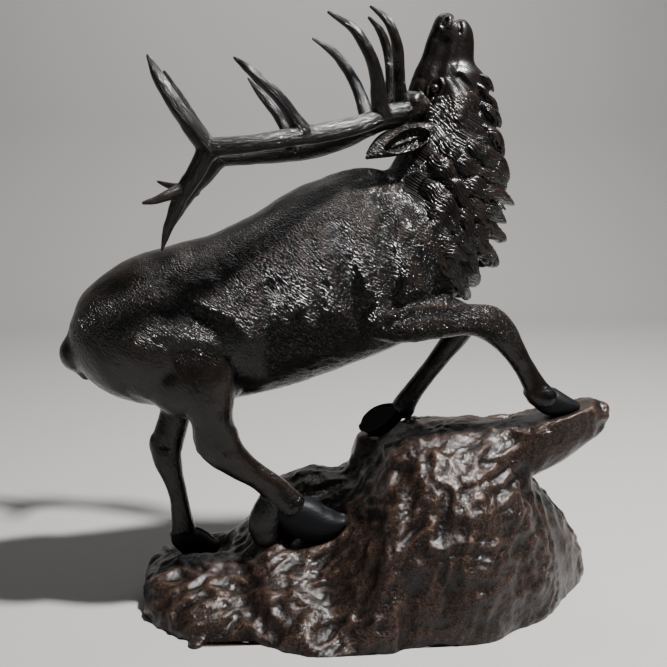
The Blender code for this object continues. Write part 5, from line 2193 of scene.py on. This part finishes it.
    def seat(self, relief: Relief) -> None:
        """Levels the rock under each hoof.

        Args:
            relief: The rock.
        """
        for x, y, z, slope, long, deep in self.SEATS:
            off = relief.points[:, :2] - np.array([x, y]) * self.unit
            wanted = z * self.unit + off[:, 0] * slope
            away = np.linalg.norm(off / (np.array([long, deep]) * self.unit), axis=1)
            fade = np.clip((1.4 - away) / 0.65, 0, 1) * (relief.normals[:, 2] > 0.1)
            fade = fade * fade * (3 - 2 * fade) * (np.abs(relief.points[:, 2] - wanted) < 22 * self.unit)
            relief.points[:, 2] += (wanted - relief.points[:, 2]) * fade

    def tab(self) -> Thing:
        """Models the round-ended tab.

        Returns:
            The tab, with its edges eased.
        """
        x, back = self.tab_place
        middle = back - self.tab_reach + self.tab_wide / 2
        deselect()
        bpy.ops.mesh.primitive_cylinder_add(
            vertices=32, radius=self.tab_wide / 2, depth=self.tab_thick,
            location=(x, middle, self.tab_thick / 2),
        )
        tab = bpy.context.object
        bpy.ops.object.transform_apply(location=True, rotation=True, scale=True)
        relief = Relief(tab, 1.0)
        relief.points[:, 1] += np.where(relief.points[:, 1] > middle + 1e-6, self.TAB_ROOT, 0)
        relief.write()
        apply_modifier(tab, "BEVEL", width=self.tab_edge, segments=3, limit_method="ANGLE")
        return tab

    def build(self) -> Thing:
        """Models the rock with its tab and cuts it flat.

        Returns:
            The rock.
        """
        ledge = Limb(self.LEDGE, 28).build("ledge", self.unit)
        rock = fused([self.mound(), ledge], "outcrop", self.voxel, 10)
        relief = Relief(rock, self.unit)
        self.weather(relief)
        relief.write()
        for path, width, depth in self.CREVICES:
            relief.press(path, width, depth, beyond=8, side=Side.NEAR)
        relief.write()
        self.seat(relief)
        relief.write()
        self.melt(relief)
        relief.write()
        rock = sliced(fused([rock, self.tab()], "outcrop", self.voxel, 2), (0, 0, 0), (0, 0, -1))
        largest_only(rock)
        thinned(rock, self.triangles)
        relief = Relief(rock, self.unit)
        # The foot's edge stays dark.
        foot = 0.45 + 0.55 * eased(relief.points[:, 2] / self.unit, 0.5, 3.0)
        paint_value(rock, "cavity", relief.cavity(14, 0.4) * 0.5 * foot)
        return rock


@dataclass
class Studio:
    """A pale floor, soft lamps and the camera.

    Attributes:
        eye: Where the camera stands.
        down: How far it looks down, in degrees.
        right: How far it is turned to the right, in degrees.
        focal_pixels: Its focal length, in pixels of an image 667 wide.
        image: That width.
        sweep: How far behind the elk the floor starts to rise, in metres.
        curve: The radius that it rises in.
        wide: The sheet's width.
        high: How much higher it goes above its curve.
        before: How far behind the camera it starts.
        world: How bright the room is.
    """

    eye: tuple[float, float, float] = (-0.36, -2.8, 1.48608)
    down: float = 11.88898
    right: float = 4.525559
    focal_pixels: float = 871.6005
    image: float = 667.0
    sweep: float = 4.6
    curve: float = 1.8
    wide: float = 30.0
    high: float = 6.0
    before: float = 0.5
    world: float = 0.09

    # Steps of the sweep, the sensor's width in mm, and what the lamps face: the elk and the backdrop
    STEPS, SENSOR = 16, 36
    ELK, BACKDROP = (-0.15, 0, 0.9), (0, 6.4, 1.4)
    # The lamps: name, place, side, watts and what they face. The key is small and high in front on the
    # right, for crisp glints; the fill only keeps the left from going black.
    LAMPS = (
        ("key", (2.0, -1.15, 5.75), 0.36, 1400, ELK),
        ("fill", (-3.6, -3.4, 2.6), 1.6, 10, ELK),
        ("backdrop light", (0, 3.4, 6.6), 3.0, 170, BACKDROP),
    )

    def floor(self) -> None:
        """Lays the floor, one sheet from just behind the camera to behind the elk, where it sweeps up."""
        deselect()
        bpy.ops.mesh.primitive_plane_add(size=1)
        floor = bpy.context.object
        floor.name = "floor"
        bpy.ops.object.mode_set(mode="EDIT")
        bpy.ops.mesh.select_mode(type="EDGE")
        bpy.ops.mesh.select_all(action="DESELECT")
        shell = bmesh.from_edit_mesh(floor.data)
        for vert in shell.verts:
            vert.co.x *= self.wide
            vert.co.y = self.sweep if vert.co.y > 0 else self.eye[1] - self.before
        for edge in shell.edges:
            edge.select_set(all(vert.co.y > 0 for vert in edge.verts))
        bmesh.update_edit_mesh(floor.data)
        for step in range(self.STEPS):
            low, high = math.pi / 2 * step / self.STEPS, math.pi / 2 * (step + 1) / self.STEPS
            back, up = math.sin(high) - math.sin(low), math.cos(low) - math.cos(high)
            bpy.ops.mesh.extrude_region_move(
                TRANSFORM_OT_translate={"value": (0, self.curve * back, self.curve * up)})
        bpy.ops.mesh.extrude_region_move(TRANSFORM_OT_translate={"value": (0, 0, self.high)})
        bpy.ops.object.mode_set(mode="OBJECT")
        bpy.ops.object.shade_smooth()
        # Matt pale paper, which keeps the shadows soft and the background plain
        material = bpy.data.materials.new("matt pale paper")
        material.use_nodes = True
        shader = material.node_tree.nodes["Principled BSDF"]
        shader.inputs["Base Color"].default_value = linear("#918f8d")
        shader.inputs["Roughness"].default_value = 0.9
        floor.data.materials.append(material)

    def lamp(self, name: str, place: Row, size: float, watts: float, target: Row) -> None:
        """Hangs a soft square lamp.

        Args:
            name: The lamp's name.
            place: Where it hangs.
            size: Its side.
            watts: Its power.
            target: What it faces.
        """
        aim = (Vector(target) - Vector(place)).to_track_quat("-Z", "Y").to_euler()
        bpy.ops.object.light_add(type="AREA", location=place, rotation=aim)
        lamp = bpy.context.object
        lamp.name = name
        lamp.data.size = size
        lamp.data.energy = watts

    def camera(self) -> None:
        """Sets up the camera at the photograph's viewing angle."""
        bpy.ops.object.camera_add(
            location=self.eye, rotation=(math.radians(90 - self.down), 0, -math.radians(self.right)))
        camera = bpy.context.object
        camera.data.sensor_width = self.SENSOR
        camera.data.lens = self.focal_pixels / self.image * self.SENSOR
        bpy.context.scene.camera = camera

    def build(self) -> None:
        """Sets up everything round the elk."""
        self.floor()
        for row in self.LAMPS:
            self.lamp(*row)
        world = bpy.context.scene.world or bpy.data.worlds.new("studio")
        bpy.context.scene.world = world
        world.use_nodes = True
        back = world.node_tree.nodes["Background"]
        back.inputs["Color"].default_value = linear("#eef0f2")
        back.inputs["Strength"].default_value = self.world
        self.camera()


def main() -> None:
    """Builds every piece in order."""
    logging.basicConfig(level=logging.INFO, format="%(name)s %(message)s")
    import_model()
    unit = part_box("elk")[1][2] / UNITS_TALL
    deselect()
    hide = HIDE.material()
    coat = Hide(unit)
    whole = coat.skin()
    neck, head = coat.upper(whole, Mane(unit))
    finished(neck, MANE_HAIR.material(), "elk_patina", "elk")
    finished(head, FACE_HIDE.material(), "elk_patina", "elk")
    finished(coat.body(whole), hide, "elk_patina", "elk")
    finished(Ears(unit).build(), hide, "elk_patina", "elk")
    finished(Antlers(unit).build(), ANTLER.material(), "elk_patina", "elk")
    finished(Hooves(unit).build(), HORN.material(), "elk_patina", "elk")
    finished(Eyes(unit).build(), EYE.material(), "elk_patina", "elk")
    finished(Outcrop(unit).build(), ROCK.material(), "rock_patina", "rock_base")
    Studio().build()


if __name__ == "__main__":
    main()
